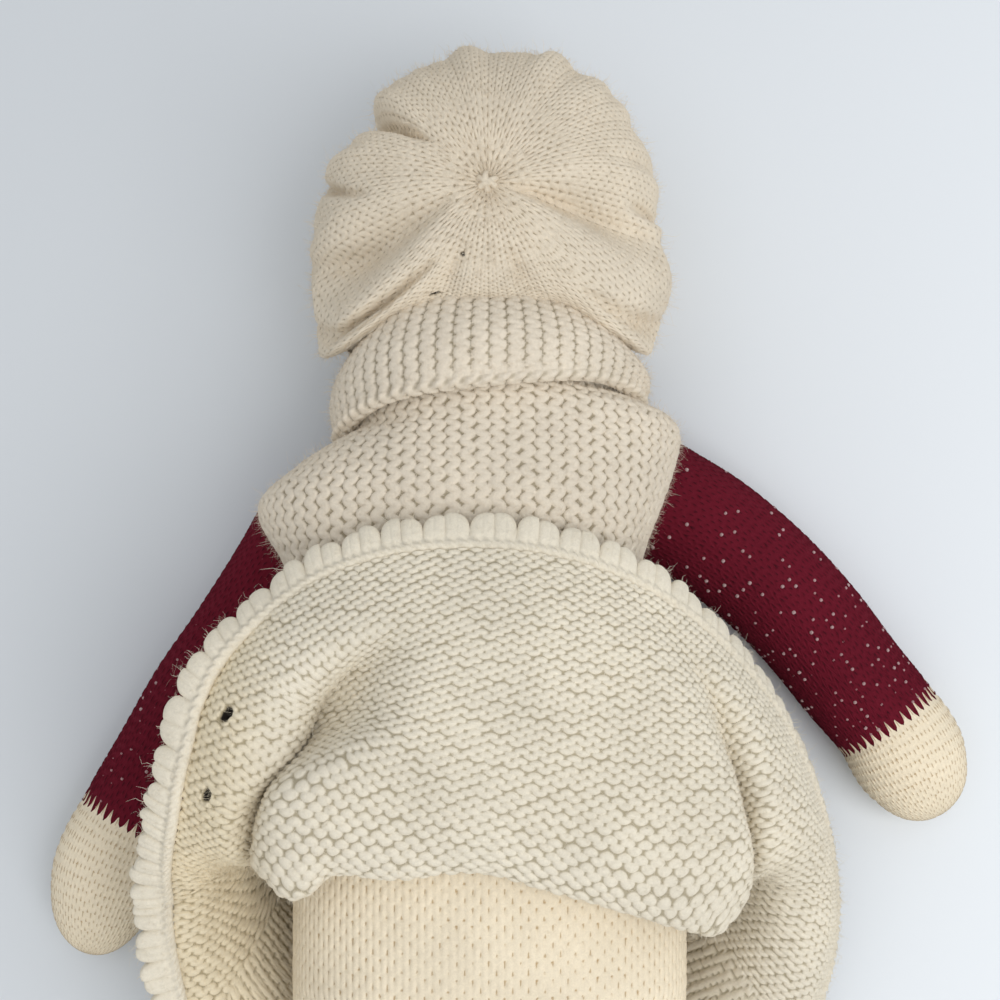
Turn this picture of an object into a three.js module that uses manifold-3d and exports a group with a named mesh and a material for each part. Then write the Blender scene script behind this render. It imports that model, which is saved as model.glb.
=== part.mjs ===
// A knitted prairie doll lying on its face, with the back of its skirt turned up over the shawl.
// Millimetres. +X is the doll's right, +Y runs from the feet to the crown of the bonnet, +Z is up
// from the table, so the doll's back faces +Z and its face looks down.

import * as THREE from 'three';
import { mergeVertices } from 'three/addons/utils/BufferGeometryUtils.js';
import Module from 'manifold-3d';

const wasm = await Module();
wasm.setup();

// Driving dimensions shared by the whole doll
const gap = 0.3;           // air between two pieces that touch
const fillGap = 0.85;      // air between the stuffing and its skin
const turnGap = 0.6;       // air between two pieces that turn against each other
const knit = 2.6;          // thickness of one layer of knitting
const pressed = 0.5;       // how deep the table flattens what rests on it

// The stuffed body, from the neck seam down to the flat seam at the hips
const bodyAxisZ = 41.5;
const neckSeamY = 29;
const waistY = -50;
const taperY = -146;
const hipSeamY = -186;
const chestHalf = 41;
const waistHalf = { x: 47.5, z: 37 };
const hipHalf = { x: 57, z: 38.2 };
const hipSeamHalfWidth = 55;
const seamHalfThickness = 3;

// The head and its neck
const neckAxisZ = 44;
const neckRadius = 19;
const neckYarnThickness = 2.2;
const headTurn = 35;
const headCentre = { y: 86, z: 46 };
const headHalf = { x: 39.5, y: 37.5, z: 37 };

// The bonnet. Its widest line is given about a middle point, as the angle from the crown of the head,
// the distance out as a share of bonnetHalf and the height as a share of bonnetTopZ. Gathers and hollows
// have an angle, a depth as a share of bonnetHalf, a half width in degrees, and where they start and end
// between the gathered point at 0, the widest line at 1 and the brim at 2.
const bonnetMiddleY = 83;
const gatherY = 77;
const bonnetFloorZ = 18;
const bonnetTopZ = 93.5;
const bonnetHalf = 52;
const bonnetWall = 3;
const bonnetWidest = [
    [-180, 0.712, 0.898], [-158, 0.783, 0.866], [-145, 0.952, 0.770], [-137, 1.154, 0.642],
    [-131, 1.279, 0.535], [-118, 1.187, 0.492], [-95, 1.058, 0.492], [-79, 1.015, 0.492],
    [-58, 0.942, 0.492], [-50, 0.894, 0.492], [-38, 0.958, 0.492], [-18, 0.937, 0.492],
    [-9, 0.988, 0.492], [3, 0.938, 0.492], [25, 1.027, 0.492], [33, 0.988, 0.492],
    [54, 1.023, 0.492], [90, 1.008, 0.492], [113, 1.154, 0.492], [124, 1.192, 0.535],
    [131, 1.173, 0.599], [142, 0.990, 0.749], [158, 0.783, 0.866], [180, 0.712, 0.898],
];
const bonnetCreases = [
    { at: -86, depth: 0.096, width: 7, from: 0.66, to: 1.25 },
    { at: -51, depth: 0.077, width: 7, from: 0.66, to: 1.25 },
    { at: -124, depth: 0.154, width: 11, from: 0.12, to: 1 },
    { at: 116, depth: 0.154, width: 11, from: 0.12, to: 1 },
    { at: 94, depth: 0.058, width: 7, from: 0.7, to: 1.2 },
    { at: 34, depth: 0.038, width: 7, from: 0.7, to: 1.2 },
];
const sideInset = 0.1;
const napeDrop = 10;
const brimWall = 4;
const chinGap = { halfWidth: 36, y: 62 };

// The shawl and its turned-down collar
const collarTopY = 45.2;
const collarTop = [[0, collarTopY], [40, 42], [60, 38.5], [75, 36], [90, 34.5], [180, 40]];
const collarHalf = { x: 47, z: 46 };
const collarWall = 5.5;
const collarFlare = 2.2;
const collarEdge = [[-180, 24], [-90, 13], [-40, 19], [0, 21.8], [45, 25.5], [90, 23.5], [180, 24]];
const shawlWall = 3.2;
const shawlTopZ = 86;
const shawlEdgeZ = 46;
const shawlLowY = -44;
const shawlSides = {
    left: [[shawlLowY, 58], [-29, 60], [-9.5, 69], [3, 57], [10, 46], [13, 41]],
    right: [[shawlLowY, 44], [-26, 45], [-3, 53.5], [11, 57.3], [17, 55], [21, 47], [23.5, 41]],
};
const armholeY = 25;

// The skirt and its scalloped border
const skirtWall = 3;
const waistbandSize = 4;
const hemHalf = 103;
const hemDepth = 106;
const hemCentreY = -125;
const hemBackZ = 91;
const hemShift = 1.7;
const foldY = -115;
const foldAt = 0.37;
const foldEarHalf = 71;
const panelTopZ = 99;
const rollTopZ = 56;
const panelMiddle = 35;
const frontMiddle = 60;
const rollLead = 7;
const wideTaper = 26;
const hemSideZ = 24;
const skirtLength = 174;
const armLift = 12;

// The creases beside the turned-up panel, as shares of the skirt's length, angles from the back and
// depths. They are steep on the panel's side and easy on the roll's.
const creases = {
    left: [[0.36, 64, 4], [0.41, 59, 11], [0.48, 51, 13], [0.53, 47, 14], [0.59, 41, 17],
        [0.63, 37, 20], [0.67, 32, 22], [0.71, 28, 21], [0.745, 24, 17], [0.77, 19, 12],
        [0.79, 14, 7], [0.82, 7, 2], [0.9, 0, 0]],
    right: [[0.36, 76, 0], [0.43, 73, 8], [0.515, 66, 12], [0.6, 57, 13], [0.67, 51, 13],
        [0.73, 45, 10], [0.79, 41, 7], [0.85, 36, 3], [0.92, 30, 0]],
};
const creaseSteep = 0.14;
const creaseEasy = 0.3;

// How far the fold's lower edge hangs down, at places across the doll
const foldSag = [[-74, 0], [-62, -2], [-55, -8], [-47, -4], [-41, 3], [-25, 3], [-3, 5], [17, 0],
    [36, -6], [56, -14], [65, -17], [76, -10]];
const borderWidth = 8;
const scallops = 60;
const scallopDepth = 2.2;

// The arms: the shoulder pivots, then the middle line of each arm and its half width
const armHalfHeight = 18.5;
const arms = {
    left: {
        line: [[-54.8, -12], [-64, -28], [-77, -48], [-89, -65], [-100, -84], [-111, -103], [-119, -121], [-125, -144]],
        handLength: 43,
    },
    right: {
        line: [[53.4, -3], [70, -13], [87, -27], [101, -42], [114, -59], [126, -74], [134, -88], [141, -102]],
        handLength: 33,
    },
};
const shoulderHalfWidth = 19.5;
const cuffHalfWidth = 17;
const handHalfWidth = 16;
const wristDrop = 2;
const fingertipDrop = 1.5;
const fingertipZ = 11;

// The legs and shoes
const legX = 28;
const hipZ = 41.5;
const legHalfWidth = 26.5;
const legSeamLength = 34;
const ankleY = -300;
const ankleZ = 45;
const ankleHalf = 21;
const soleY = -334;
const shoeHeel = 24;
const shoeHalfWidth = 23;

// The face
const eyeRadius = 4;
const eyeSpacing = 30;
const eyeY = 89;
const stitchRelief = 1.2;
const mouth = { width: 18, y: 74, thickness: 2 };
const fringe = { strands: 7, width: 42, y: 109, length: 11 };

// How finely curves are cut into facets
const roundSteps = 20;
const limbSteps = 14;
const armSteps = 7;
const skirtColumns = 36;
const crownColumns = 50;
const columnsPerScallop = 3;

const clothBeige = 0xd8ccb4;
const clothCream = 0xdcd2b8;
const skinCream = 0xe8dbb6;
const burgundy = 0x5c1228;
const stuffingWhite = 0xf4f4f0;
const eyeBrown = 0x2f2b2a;
const mouthRose = 0x9c3a44;
const hairBrown = 0x6b4527;

const vec = (x, y, z) => new THREE.Vector3(x, y, z);
const lerp = THREE.MathUtils.lerp;
const clamp01 = (t) => THREE.MathUtils.clamp(t, 0, 1);
const smooth = (t) => THREE.MathUtils.smoothstep(t, 0, 1);

// A smooth curve through hand-picked values: keys rise, values follow
function curveThrough(keys, values) {
    const points = keys.map((key, i) => vec(key, values[i], 0));
    return (key) => {
        const last = keys.length - 1;
        if (key <= keys[0]) return values[0];
        if (key >= keys[last]) return values[last];
        let i = 0;
        while (keys[i + 1] < key) i += 1;
        const slope = (a, b) => (points[b].y - points[a].y) / (points[b].x - points[a].x);
        const m0 = i > 0 ? slope(i - 1, i + 1) : slope(i, i + 1);
        const m1 = i + 2 <= last ? slope(i, i + 2) : slope(i, i + 1);
        const span = keys[i + 1] - keys[i];
        const t = (key - keys[i]) / span;
        const s = 1 - t;
        return s * s * (1 + 2 * t) * values[i] + t * t * (3 - 2 * t) * values[i + 1]
            + span * t * s * (s * m0 - t * m1);
    };
}

// A smooth curve through rows of a table, from its first column to another
const tableCurve = (rows, column = 1) => curveThrough(rows.map((r) => r[0]), rows.map((r) => r[column]));
const toDegrees = (angle) => THREE.MathUtils.radToDeg(Math.atan2(Math.sin(angle), Math.cos(angle)));

// A closed mesh from rings of points. A looped one joins its last ring to its first; the other kind
// is closed at both ends by a fan round the middle of the ring.
function ringMesh(rings, looped = false) {
    const count = rings[0].length;
    const positions = [];
    const index = [];
    for (const ring of rings) {
        for (const p of ring) positions.push(p.x, p.y, p.z);
    }
    const bands = looped ? rings.length : rings.length - 1;
    for (let i = 0; i < bands; i += 1) {
        const next = (i + 1) % rings.length;
        for (let j = 0; j < count; j += 1) {
            const k = (j + 1) % count;
            index.push(i * count + j, next * count + j, next * count + k);
            index.push(i * count + j, next * count + k, i * count + k);
        }
    }
    if (!looped) {
        const ends = [{ ring: 0, flip: true }, { ring: rings.length - 1, flip: false }];
        for (const { ring, flip } of ends) {
            const middle = rings[ring].reduce((sum, p) => sum.add(p), vec(0, 0, 0)).divideScalar(count);
            const hub = positions.length / 3;
            positions.push(middle.x, middle.y, middle.z);
            for (let j = 0; j < count; j += 1) {
                const k = (j + 1) % count;
                const a = ring * count + (flip ? k : j);
                const b = ring * count + (flip ? j : k);
                index.push(a, hub, b);
            }
        }
    }
    const geometry = new THREE.BufferGeometry();
    geometry.setAttribute('position', new THREE.Float32BufferAttribute(positions, 3));
    geometry.setIndex(index);
    return facingOut(geometry);
}

// The same mesh with its faces pointing out
function facingOut(geometry) {
    const place = geometry.getAttribute('position');
    const index = geometry.getIndex().array;
    const corner = (i) => vec().fromBufferAttribute(place, i);
    let volume = 0;
    for (let i = 0; i < index.length; i += 3) {
        const b = corner(index[i + 1]);
        volume += corner(index[i]).dot(b.cross(corner(index[i + 2])));
    }
    if (volume < 0) {
        for (let i = 0; i < index.length; i += 3) {
            [index[i + 1], index[i + 2]] = [index[i + 2], index[i + 1]];
        }
    }
    return geometry;
}

function toSolid(geometry) {
    const bare = geometry.clone();
    bare.deleteAttribute('normal');
    bare.deleteAttribute('uv');
    const merged = mergeVertices(bare, 1e-4);
    const mesh = new wasm.Mesh({
        numProp: 3,
        vertProperties: Float32Array.from(merged.getAttribute('position').array),
        triVerts: Uint32Array.from(merged.getIndex().array),
    });
    mesh.merge();
    return new wasm.Manifold(mesh);
}

function toGeometry(solid) {
    const mesh = solid.getMesh();
    const geometry = new THREE.BufferGeometry();
    geometry.setAttribute('position', new THREE.Float32BufferAttribute(mesh.vertProperties, 3));
    geometry.setIndex(Array.from(mesh.triVerts));
    return mergeVertices(geometry, 1e-3);
}

// A block between two corners
function block(low, high) {
    const size = high.clone().sub(low);
    const box = new THREE.BoxGeometry(size.x, size.y, size.z);
    box.translate(...low.clone().add(high).multiplyScalar(0.5).toArray());
    return toSolid(box);
}

const reach = 1000;
const underTable = block(vec(-reach, -reach, -reach), vec(reach, reach, 0));
const onTable = (solid) => solid.subtract(underTable);

// An upright oval section facing along Y
function ovalAtY(y, halfX, halfZ, centreZ, centreX = 0, sides = roundSteps) {
    const ring = [];
    for (let j = 0; j < sides; j += 1) {
        const a = (2 * Math.PI * j) / sides;
        ring.push(vec(centreX + halfX * Math.sin(a), y, centreZ + halfZ * Math.cos(a)));
    }
    return ring;
}

// Half width and half height of the body's section, from the neck seam to where it narrows
const between = (high, low, share) => lerp(high, low, share);
const bodySections = [
    { y: neckSeamY, half: neckRadius + 0.5, rise: neckRadius },
    { y: between(neckSeamY, waistY, 0.06), half: chestHalf * 0.66, rise: waistHalf.z * 0.7 },
    { y: between(neckSeamY, waistY, 0.19), half: chestHalf * 0.93, rise: waistHalf.z * 0.9 },
    { y: between(neckSeamY, waistY, 0.43), half: chestHalf, rise: waistHalf.z },
    { y: between(neckSeamY, waistY, 0.72), half: (chestHalf + waistHalf.x) / 2, rise: waistHalf.z + 0.5 },
    { y: waistY, half: waistHalf.x, rise: waistHalf.z },
    { y: between(waistY, taperY, 0.31), half: between(waistHalf.x, hipHalf.x, 0.68), rise: hipHalf.z - 0.2 },
    { y: between(waistY, taperY, 0.68), half: hipHalf.x, rise: hipHalf.z },
    { y: taperY, half: hipHalf.x, rise: hipHalf.z - 0.7 },
].reverse();
const bodyHalf = curveThrough(bodySections.map((s) => s.y), bodySections.map((s) => s.half));
const bodyRise = curveThrough(bodySections.map((s) => s.y), bodySections.map((s) => s.rise));

function bodySectionAt(y, grow) {
    let half = bodyHalf(y);
    let rise = bodyRise(y);
    if (y < taperY) {
        const t = (taperY - y) / (taperY - hipSeamY);
        half = lerp(bodySections[0].half, hipSeamHalfWidth, t);
        rise = lerp(bodySections[0].rise, seamHalfThickness, t ** 1.15);
    }
    const towardsNeck = smooth((y - waistY) / (neckSeamY - waistY));
    const centreZ = lerp(bodyAxisZ, neckAxisZ, towardsNeck);
    return ovalAtY(y, Math.max(half + grow, 1), Math.max(rise + grow, 0.6), centreZ);
}

// Every layer of the body has its rings at the same places, so that the layers never cross
const bodyPlaces = [
    ...[0.06, 0.13, 0.23, 0.39, 0.6, 0.8, 1].map((share) => between(neckSeamY, waistY, share)),
    ...[0.19, 0.42, 0.68, 1].map((share) => between(waistY, taperY, share)),
    ...[0.2, 0.43, 0.65, 0.85].map((share) => between(taperY, hipSeamY, share)),
];

function ringPlaces(places, fromY, toY) {
    const high = Math.max(fromY, toY);
    const low = Math.min(fromY, toY);
    const downwards = [high, ...places.filter((y) => y < high - 0.5 && y > low + 0.5), low];
    return fromY > toY ? downwards : downwards.reverse();
}

const bodyRings = (fromY, toY, grow) =>
    ringPlaces(bodyPlaces, fromY, toY).map((y) => bodySectionAt(y, grow));
const bodyForm = (grow) => toSolid(ringMesh(bodyRings(neckSeamY + grow, hipSeamY - grow, grow)));

// A tube of knitting open at both ends
function tubeSkin(fromY, toY) {
    const outer = bodyRings(fromY, toY, 0);
    const inner = bodyRings(toY, fromY, -knit);
    return ringMesh([...outer, ...inner], true);
}

function makeBodice() {
    return tubeSkin(neckSeamY, waistY + gap / 2);
}

// The lower body ends in the flat seam that the legs are sewn to
function makeLowerBody() {
    const closedEndY = hipSeamY + knit * 2;
    const inner = bodyRings(closedEndY, waistY - gap / 2, -knit);
    const outer = bodyRings(waistY - gap / 2, hipSeamY, 0);
    return ringMesh([...inner, ...outer]);
}

function makeTorsoStuffing() {
    const layer = -(knit + fillGap);
    return ringMesh(bodyRings(neckSeamY - 1, bodyPlaces.at(-3), layer));
}

const napeEndY = headCentre.y - headHalf.y * 0.9;
const neckBottomY = neckSeamY + gap;
const headPlaces = [
    ...[0.95, 0.87, 0.73, 0.54, 0.24, -0.07, -0.37, -0.59, -0.73, -0.85, -0.95]
        .map((share) => headCentre.y + share * headHalf.y),
    ...[0.3, 0.65].map((share) => between(napeEndY - 3, neckBottomY, share)),
];
// Half width of the head and neck seen from the back, then from the side
function headSectionAt(y, grow) {
    const t = (y - headCentre.y) / headHalf.y;
    const roundness = Math.sqrt(Math.max(0, 1 - t * t));
    const onNeck = y < headCentre.y ? neckRadius : 0;
    const softMax = (a, b) => (a ** 6 + b ** 6) ** (1 / 6);
    const fade = smooth((y - neckSeamY) / (headCentre.y - neckSeamY));
    const halfX = softMax(headHalf.x * roundness, onNeck * (1 - fade * 0.3)) + grow;
    const halfZ = softMax(headHalf.z * roundness, onNeck * (1 - fade * 0.3)) + grow;
    const centreZ = lerp(neckAxisZ, headCentre.z, smooth((y - napeEndY) / (headCentre.y - napeEndY)));
    return ovalAtY(y, Math.max(halfX, 0.5), Math.max(halfZ, 0.5), centreZ);
}

const headRings = (fromY, toY, grow) =>
    ringPlaces(headPlaces, fromY, toY).map((y) => headSectionAt(y, grow));

function makeHead() {
    const topY = headCentre.y + headHalf.y;
    const inner = headRings(neckBottomY, topY - knit - 0.5, -knit).reverse();
    const outer = headRings(neckBottomY, topY - 0.2, 0);
    return ringMesh([...inner, ...outer]);
}

function makeHeadStuffing() {
    const topY = headCentre.y + headHalf.y;
    return ringMesh(headRings(neckBottomY + 1, topY - knit - 1.5, -(knit + fillGap)));
}

// A ring of yarn about the neck, from a small round section
function makeNeckYarn() {
    const radius = neckRadius + turnGap + neckYarnThickness / 2;
    const ring = new THREE.TorusGeometry(radius, neckYarnThickness / 2, 6, roundSteps);
    ring.rotateX(Math.PI / 2);
    ring.translate(0, neckSeamY + gap + neckYarnThickness / 2, neckAxisZ);
    return toGeometry(toSolid(ring));
}

const widestShare = tableCurve(bonnetWidest, 1);
const widestRadius = (degrees) => bonnetHalf * widestShare(degrees);
const heightShare = tableCurve(bonnetWidest, 2);
const widestZ = (degrees) => bonnetTopZ * heightShare(degrees);
const napeShare = (angle) => smooth((Math.abs(toDegrees(angle)) - 118) / 14);

function creaseDepth(angle, t) {
    let depth = 0;
    for (const crease of bonnetCreases) {
        const run = clamp01((t - crease.from) / (crease.to - crease.from));
        const near = Math.exp(-(((toDegrees(angle) - crease.at) / crease.width) ** 2));
        depth += bonnetHalf * crease.depth * Math.sin(Math.PI * run) * near;
    }
    return depth;
}

// A point of the bonnet's skin: t is 0 at the gathered point, 1 at the widest line and 2 at the edge
function bonnetPoint(angle, t, inset) {
    const up = clamp01(t);
    const down = clamp01(t - 1);
    const nape = napeShare(angle);
    const radius = widestRadius(toDegrees(angle)) - inset;
    const spread = Math.sin((Math.PI / 2) * up) ** 0.9;
    const tuck = lerp(sideInset * radius, napeDrop, nape) * Math.sin((Math.PI / 2) * down) ** 1.5;
    const dome = Math.sqrt(Math.max(0, 1 - spread ** 2.7));
    const depth = creaseDepth(angle, t);
    const edgeZ = widestZ(toDegrees(angle));
    const floor = lerp(bonnetFloorZ, edgeZ - napeDrop, nape);
    const onTop = lerp(edgeZ, bonnetTopZ - inset, dome) - depth * 0.6;
    const outward = Math.max(radius * spread - tuck - depth * 0.75 * Math.sqrt(spread), 0.4);
    const centreY = lerp(gatherY, bonnetMiddleY, up);
    return vec(outward * Math.sin(angle), centreY + outward * Math.cos(angle), lerp(onTop, floor, down));
}

const bonnetRing = (t, inset, columns) => Array.from({ length: columns }, (_, j) =>
    bonnetPoint((2 * Math.PI * j) / columns, t, inset));

function makeBonnetCrown() {
    const levels = [0.03, 0.2, 0.38, 0.55, 0.7, 0.82, 0.92, 1, 1.25, 1.6, 2];
    const outer = levels.map((t) => bonnetRing(t, 0, crownColumns));
    const inner = levels.map((t) => bonnetRing(t, bonnetWall, crownColumns)).reverse();
    const turned = toSolid(ringMesh(collarRings(turnGap, headTurn), true));
    return toGeometry(toSolid(ringMesh([...outer, ...inner])).subtract(turned));
}

// The brim stands round the face and is open at the chin
function makeBonnetBrim() {
    const columns = roundSteps * 1.8;
    const level = (z, inset) => Array.from({ length: columns }, (_, j) => {
        const angle = (2 * Math.PI * j) / columns;
        const outward = widestRadius(toDegrees(angle)) * (1 - sideInset) - inset;
        return vec(outward * Math.sin(angle), bonnetMiddleY + outward * Math.cos(angle), z);
    });
    const top = bonnetFloorZ - gap;
    const outer = [level(-pressed, -1), level(top / 2, 0.5), level(top, 0)];
    const inner = [level(top, brimWall), level(top / 2, brimWall), level(-pressed, brimWall - 1)];
    const chin = block(vec(-chinGap.halfWidth, -reach, -reach), vec(chinGap.halfWidth, chinGap.y, reach));
    const belowNape = block(vec(-reach, -reach, -reach), vec(reach, collarTopY + turnGap, reach));
    const ring = toSolid(ringMesh([...outer, ...inner], true));
    return toGeometry(onTable(ring).subtract(chin).subtract(belowNape));
}

// Where the head's underside is, for the face sewn on it
function faceZ(x, y) {
    const tx = x / headHalf.x;
    const ty = (y - headCentre.y) / headHalf.y;
    return headCentre.z - headHalf.z * Math.sqrt(Math.max(0, 1 - tx * tx - ty * ty));
}

function makeEye(side) {
    const x = (side * eyeSpacing) / 2;
    const eye = new THREE.SphereGeometry(eyeRadius, 12, 6);
    eye.scale(1, 1.15, 0.6);
    eye.translate(x, eyeY, faceZ(x, eyeY));
    return toGeometry(toSolid(eye).subtract(headForm(gap)));
}

const headForm = (grow) => toSolid(ringMesh(headRings(neckBottomY, headCentre.y + headHalf.y - 0.2, grow)));

// A line of yarn along points, as a tube with round ends cut flat
function yarnLine(points, radius, sides, steps) {
    const curve = new THREE.CatmullRomCurve3(points);
    const section = new THREE.Shape();
    section.absarc(0, 0, radius, 0, 2 * Math.PI);
    return new THREE.ExtrudeGeometry(section, { steps, curveSegments: sides / 2, extrudePath: curve });
}

function makeMouth() {
    const points = [-1, -0.5, 0, 0.5, 1].map((s) => {
        const x = (s * mouth.width) / 2;
        const y = mouth.y + 4 * s * s;
        return vec(x, y, faceZ(x, y) - stitchRelief / 2);
    });
    const lips = toSolid(yarnLine(points, mouth.thickness, 8, 8));
    return toGeometry(lips.subtract(headForm(gap)));
}

// Loops of hair yarn side by side over the forehead, joined where they are sewn down
function makeHairFringe() {
    const radius = (0.63 * fringe.width) / (fringe.strands - 1);
    let hair = null;
    for (let i = 0; i < fringe.strands; i += 1) {
        const x = fringe.width * (i / (fringe.strands - 1) - 0.5);
        const bow = 4 * (2 * x / fringe.width) ** 2;
        const points = [0, 0.5, 1].map((s) => {
            const y = fringe.y - bow - s * fringe.length;
            return vec(x * (1 + 0.1 * s), y, faceZ(x, y) - radius * 0.5);
        });
        const strand = toSolid(yarnLine(points, radius, 6, 3));
        hair = hair ? hair.add(strand) : strand;
    }
    return toGeometry(hair.subtract(headForm(gap)));
}

// The collar's chained edge dips towards the doll's left shoulder
const collarTopAt = tableCurve(collarTop);
const collarEdgeAt = tableCurve(collarEdge);

// The collar's rim is highest at the back. With a turn, it is as high as the head meets it anywhere.
function collarHigh(angle, turn) {
    const away = Math.abs(toDegrees(angle));
    return Math.max(collarTopAt(Math.max(away - turn, 0)), collarTopAt(Math.min(away + turn, 180)));
}

function collarRing(t, inset, grow, turn) {
    const columns = roundSteps * 1.5;
    return Array.from({ length: columns }, (_, j) => {
        const angle = (2 * Math.PI * j) / columns;
        const high = collarHigh(angle, turn);
        const y = lerp(high + grow, collarEdgeAt(toDegrees(angle)) - grow, t);
        const flare = collarFlare * (Math.sin(Math.PI * t) - 2 * (1 - t) ** 2);
        const x = (collarHalf.x + flare - inset) * Math.sin(angle);
        const z = (collarHalf.z + flare - inset) * Math.cos(angle);
        return vec(x, y, collarHalf.z - pressed + z);
    });
}

function collarRings(grow, turn = 0) {
    const swing = turn ? collarHalf.z - neckAxisZ : 0;
    const outer = [0, 0.3, 0.7, 1].map((t) => collarRing(t, -grow - swing, grow, turn));
    const inner = [1, 0.5, 0].map((t) => collarRing(t, collarWall + grow + swing, grow, turn));
    return [...outer, ...inner];
}

const makeCollar = () => toGeometry(onTable(toSolid(ringMesh(collarRings(0), true))));

// The shawl: a band inside the collar that opens over the back and both shoulders
const shawlNeckHalf = { x: collarHalf.x - collarWall - gap, z: collarHalf.z - collarWall - gap };
const shawlTopY = collarTopY - 16;

function shawlHalfWidth(y, side) {
    return tableCurve([...shawlSides[side], [shawlTopY, shawlNeckHalf.x - 1]])(y);
}

function shawlPoint(angle, t, inset) {
    const y = lerp(shawlTopY, shawlLowY, t);
    const side = Math.sin(angle) < 0 ? 'left' : 'right';
    const halfX = shawlHalfWidth(y, side) - inset;
    const middleZ = lerp(collarHalf.z - pressed, shawlEdgeZ, smooth(t * 2));
    const top = lerp(shawlNeckHalf.z + collarHalf.z - pressed - 1, shawlTopZ, smooth(t * 2.2));
    const halfZ = top - middleZ - inset;
    const squareness = lerp(1, 0.82, smooth(t * 1.6));
    const s = Math.sin(angle);
    const c = Math.cos(angle);
    const x = Math.sign(s) * Math.abs(s) ** squareness * halfX;
    const z = middleZ + Math.sign(c) * Math.abs(c) ** squareness * halfZ;
    return vec(x, y, z);
}

function makeShawl() {
    const columns = roundSteps * 1.8;
    const rows = 8;
    const ring = (t, inset) => Array.from({ length: columns }, (_, j) =>
        shawlPoint((2 * Math.PI * j) / columns, t, inset));
    const outer = Array.from({ length: rows + 1 }, (_, i) => ring(i / rows, 0));
    const inner = Array.from({ length: rows + 1 }, (_, i) => ring(1 - i / rows, shawlWall));
    const sheet = toSolid(ringMesh([...outer, ...inner], true));
    const front = block(vec(-reach, -reach, -reach), vec(reach, armholeY, shawlEdgeZ));
    const collar = toSolid(ringMesh(collarRings(gap), true));
    return toGeometry(onTable(sheet).subtract(front).subtract(collar).subtract(bodyForm(gap)));
}

// The band of stitches that the skirt hangs from
function makeWaistband() {
    const section = (grow, y) => bodySectionAt(waistY, grow).map((p) => vec(p.x, y, p.z));
    const high = waistY + waistbandSize / 2;
    const low = waistY - waistbandSize / 2;
    const outer = [section(waistbandSize * 0.6, high), section(waistbandSize, waistY),
        section(waistbandSize * 0.6, low)];
    const inner = [section(gap, low), section(gap, high)];
    return toGeometry(onTable(toSolid(ringMesh([...outer, ...inner], true))).subtract(bodyForm(gap)));
}

// Stations of the skirt from waist to hem. Each has its half width, then y and z at the back, at the
// sides and at the front, and how fast y and z fall away from the back.
const flatZ = skirtWall / 2 - pressed;
const onBodyZ = bodyAxisZ + hipHalf.z + gap + skirtWall / 2;
const skirtTopY = waistY - waistbandSize;
const skirtStations = [
    {
        at: 0, half: waistHalf.x + 2.5, fallY: 1, fallZ: 1, square: 1, shift: 0,
        y: [skirtTopY, skirtTopY, skirtTopY], z: [onBodyZ + 0.2, bodyAxisZ, flatZ],
    },
    {
        at: 0.16, half: hipHalf.x + 3, fallY: 1, fallZ: 1, square: 0.95, shift: 0,
        y: [skirtTopY - 28, skirtTopY - 24, skirtTopY - 26], z: [onBodyZ + 1, bodyAxisZ * 0.72, flatZ],
    },
    {
        at: 0.31, half: foldEarHalf - 5, fallY: 0.8, fallZ: 0.8, square: 0.8, shift: 0,
        y: [foldY + 9, foldY + 17, foldY], z: [onBodyZ + 1.1, hemSideZ - 4, flatZ],
    },
    {
        at: foldAt, half: foldEarHalf, fallY: 0.8, fallZ: 0.8, square: 0.75, shift: 0,
        y: [foldY, foldY + rollLead, foldY - 17], z: [onBodyZ + 4.5, (hemSideZ + rollTopZ) / 2 - 10, flatZ],
    },
    {
        at: 0.43, half: foldEarHalf + 3, fallY: 0.8, fallZ: 0.8, square: 0.75, shift: -1,
        y: [foldY + rollLead, foldY + 3, foldY - frontMiddle / 2], z: [onBodyZ + 10.5, rollTopZ - 12, flatZ],
    },
    {
        at: 0.62, half: hemHalf - 20, fallY: 1, fallZ: 1, square: 0.8, shift: -4,
        y: [foldY + panelMiddle, hemCentreY + rollLead, foldY - frontMiddle],
        z: [panelTopZ, rollTopZ, flatZ],
    },
    {
        at: 0.82, half: hemHalf - 8, fallY: 1.05, fallZ: 1.2, square: 0.9, shift: -6,
        y: [hemCentreY + hemDepth - wideTaper, hemCentreY + 2, hemCentreY - hemDepth + wideTaper],
        z: [panelTopZ - 1, rollTopZ - 7, flatZ],
    },
    {
        at: 1, half: hemHalf, fallY: 1.1, fallZ: 1.4, square: 0.95, shift: -7,
        y: [hemCentreY + hemDepth, hemCentreY, hemCentreY - hemDepth], z: [hemBackZ, hemSideZ, flatZ],
    },
];

function skirtStationPoint(station, angle) {
    const s = Math.sin(angle);
    const c = Math.cos(angle);
    const mix = ([b, side, f], fall) =>
        side + (b - side) * Math.max(c, 0) ** fall + (f - side) * Math.max(-c, 0) ** fall;
    const x = Math.sign(s) * Math.abs(s) ** station.square * station.half
        + station.shift * Math.max(c, 0) + hemShift * smooth(station.at * 2 - 0.8);
    const overArm = s < 0 ? armLift * s * s * smooth(station.at * 1.4 - 0.4) : 0;
    return vec(x, mix(station.y, station.fallY), mix(station.z, station.fallZ) + overArm);
}

// How far a crease sinks beside the panel
function creaseDrop(angle, v) {
    const crease = Math.sin(angle) < 0 ? creases.left : creases.right;
    const turned = Math.abs(Math.atan2(Math.sin(angle), Math.cos(angle)));
    const away = turned - THREE.MathUtils.degToRad(tableCurve(crease, 1)(v));
    const wide = away < 0 && crease === creases.left ? smooth((v - 0.58) / 0.12) : 0;
    const width = creaseSteep + (creaseEasy - creaseSteep) * wide;
    return Math.max(tableCurve(crease, 2)(v), 0) * Math.exp(-((away / width) ** 2));
}

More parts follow.
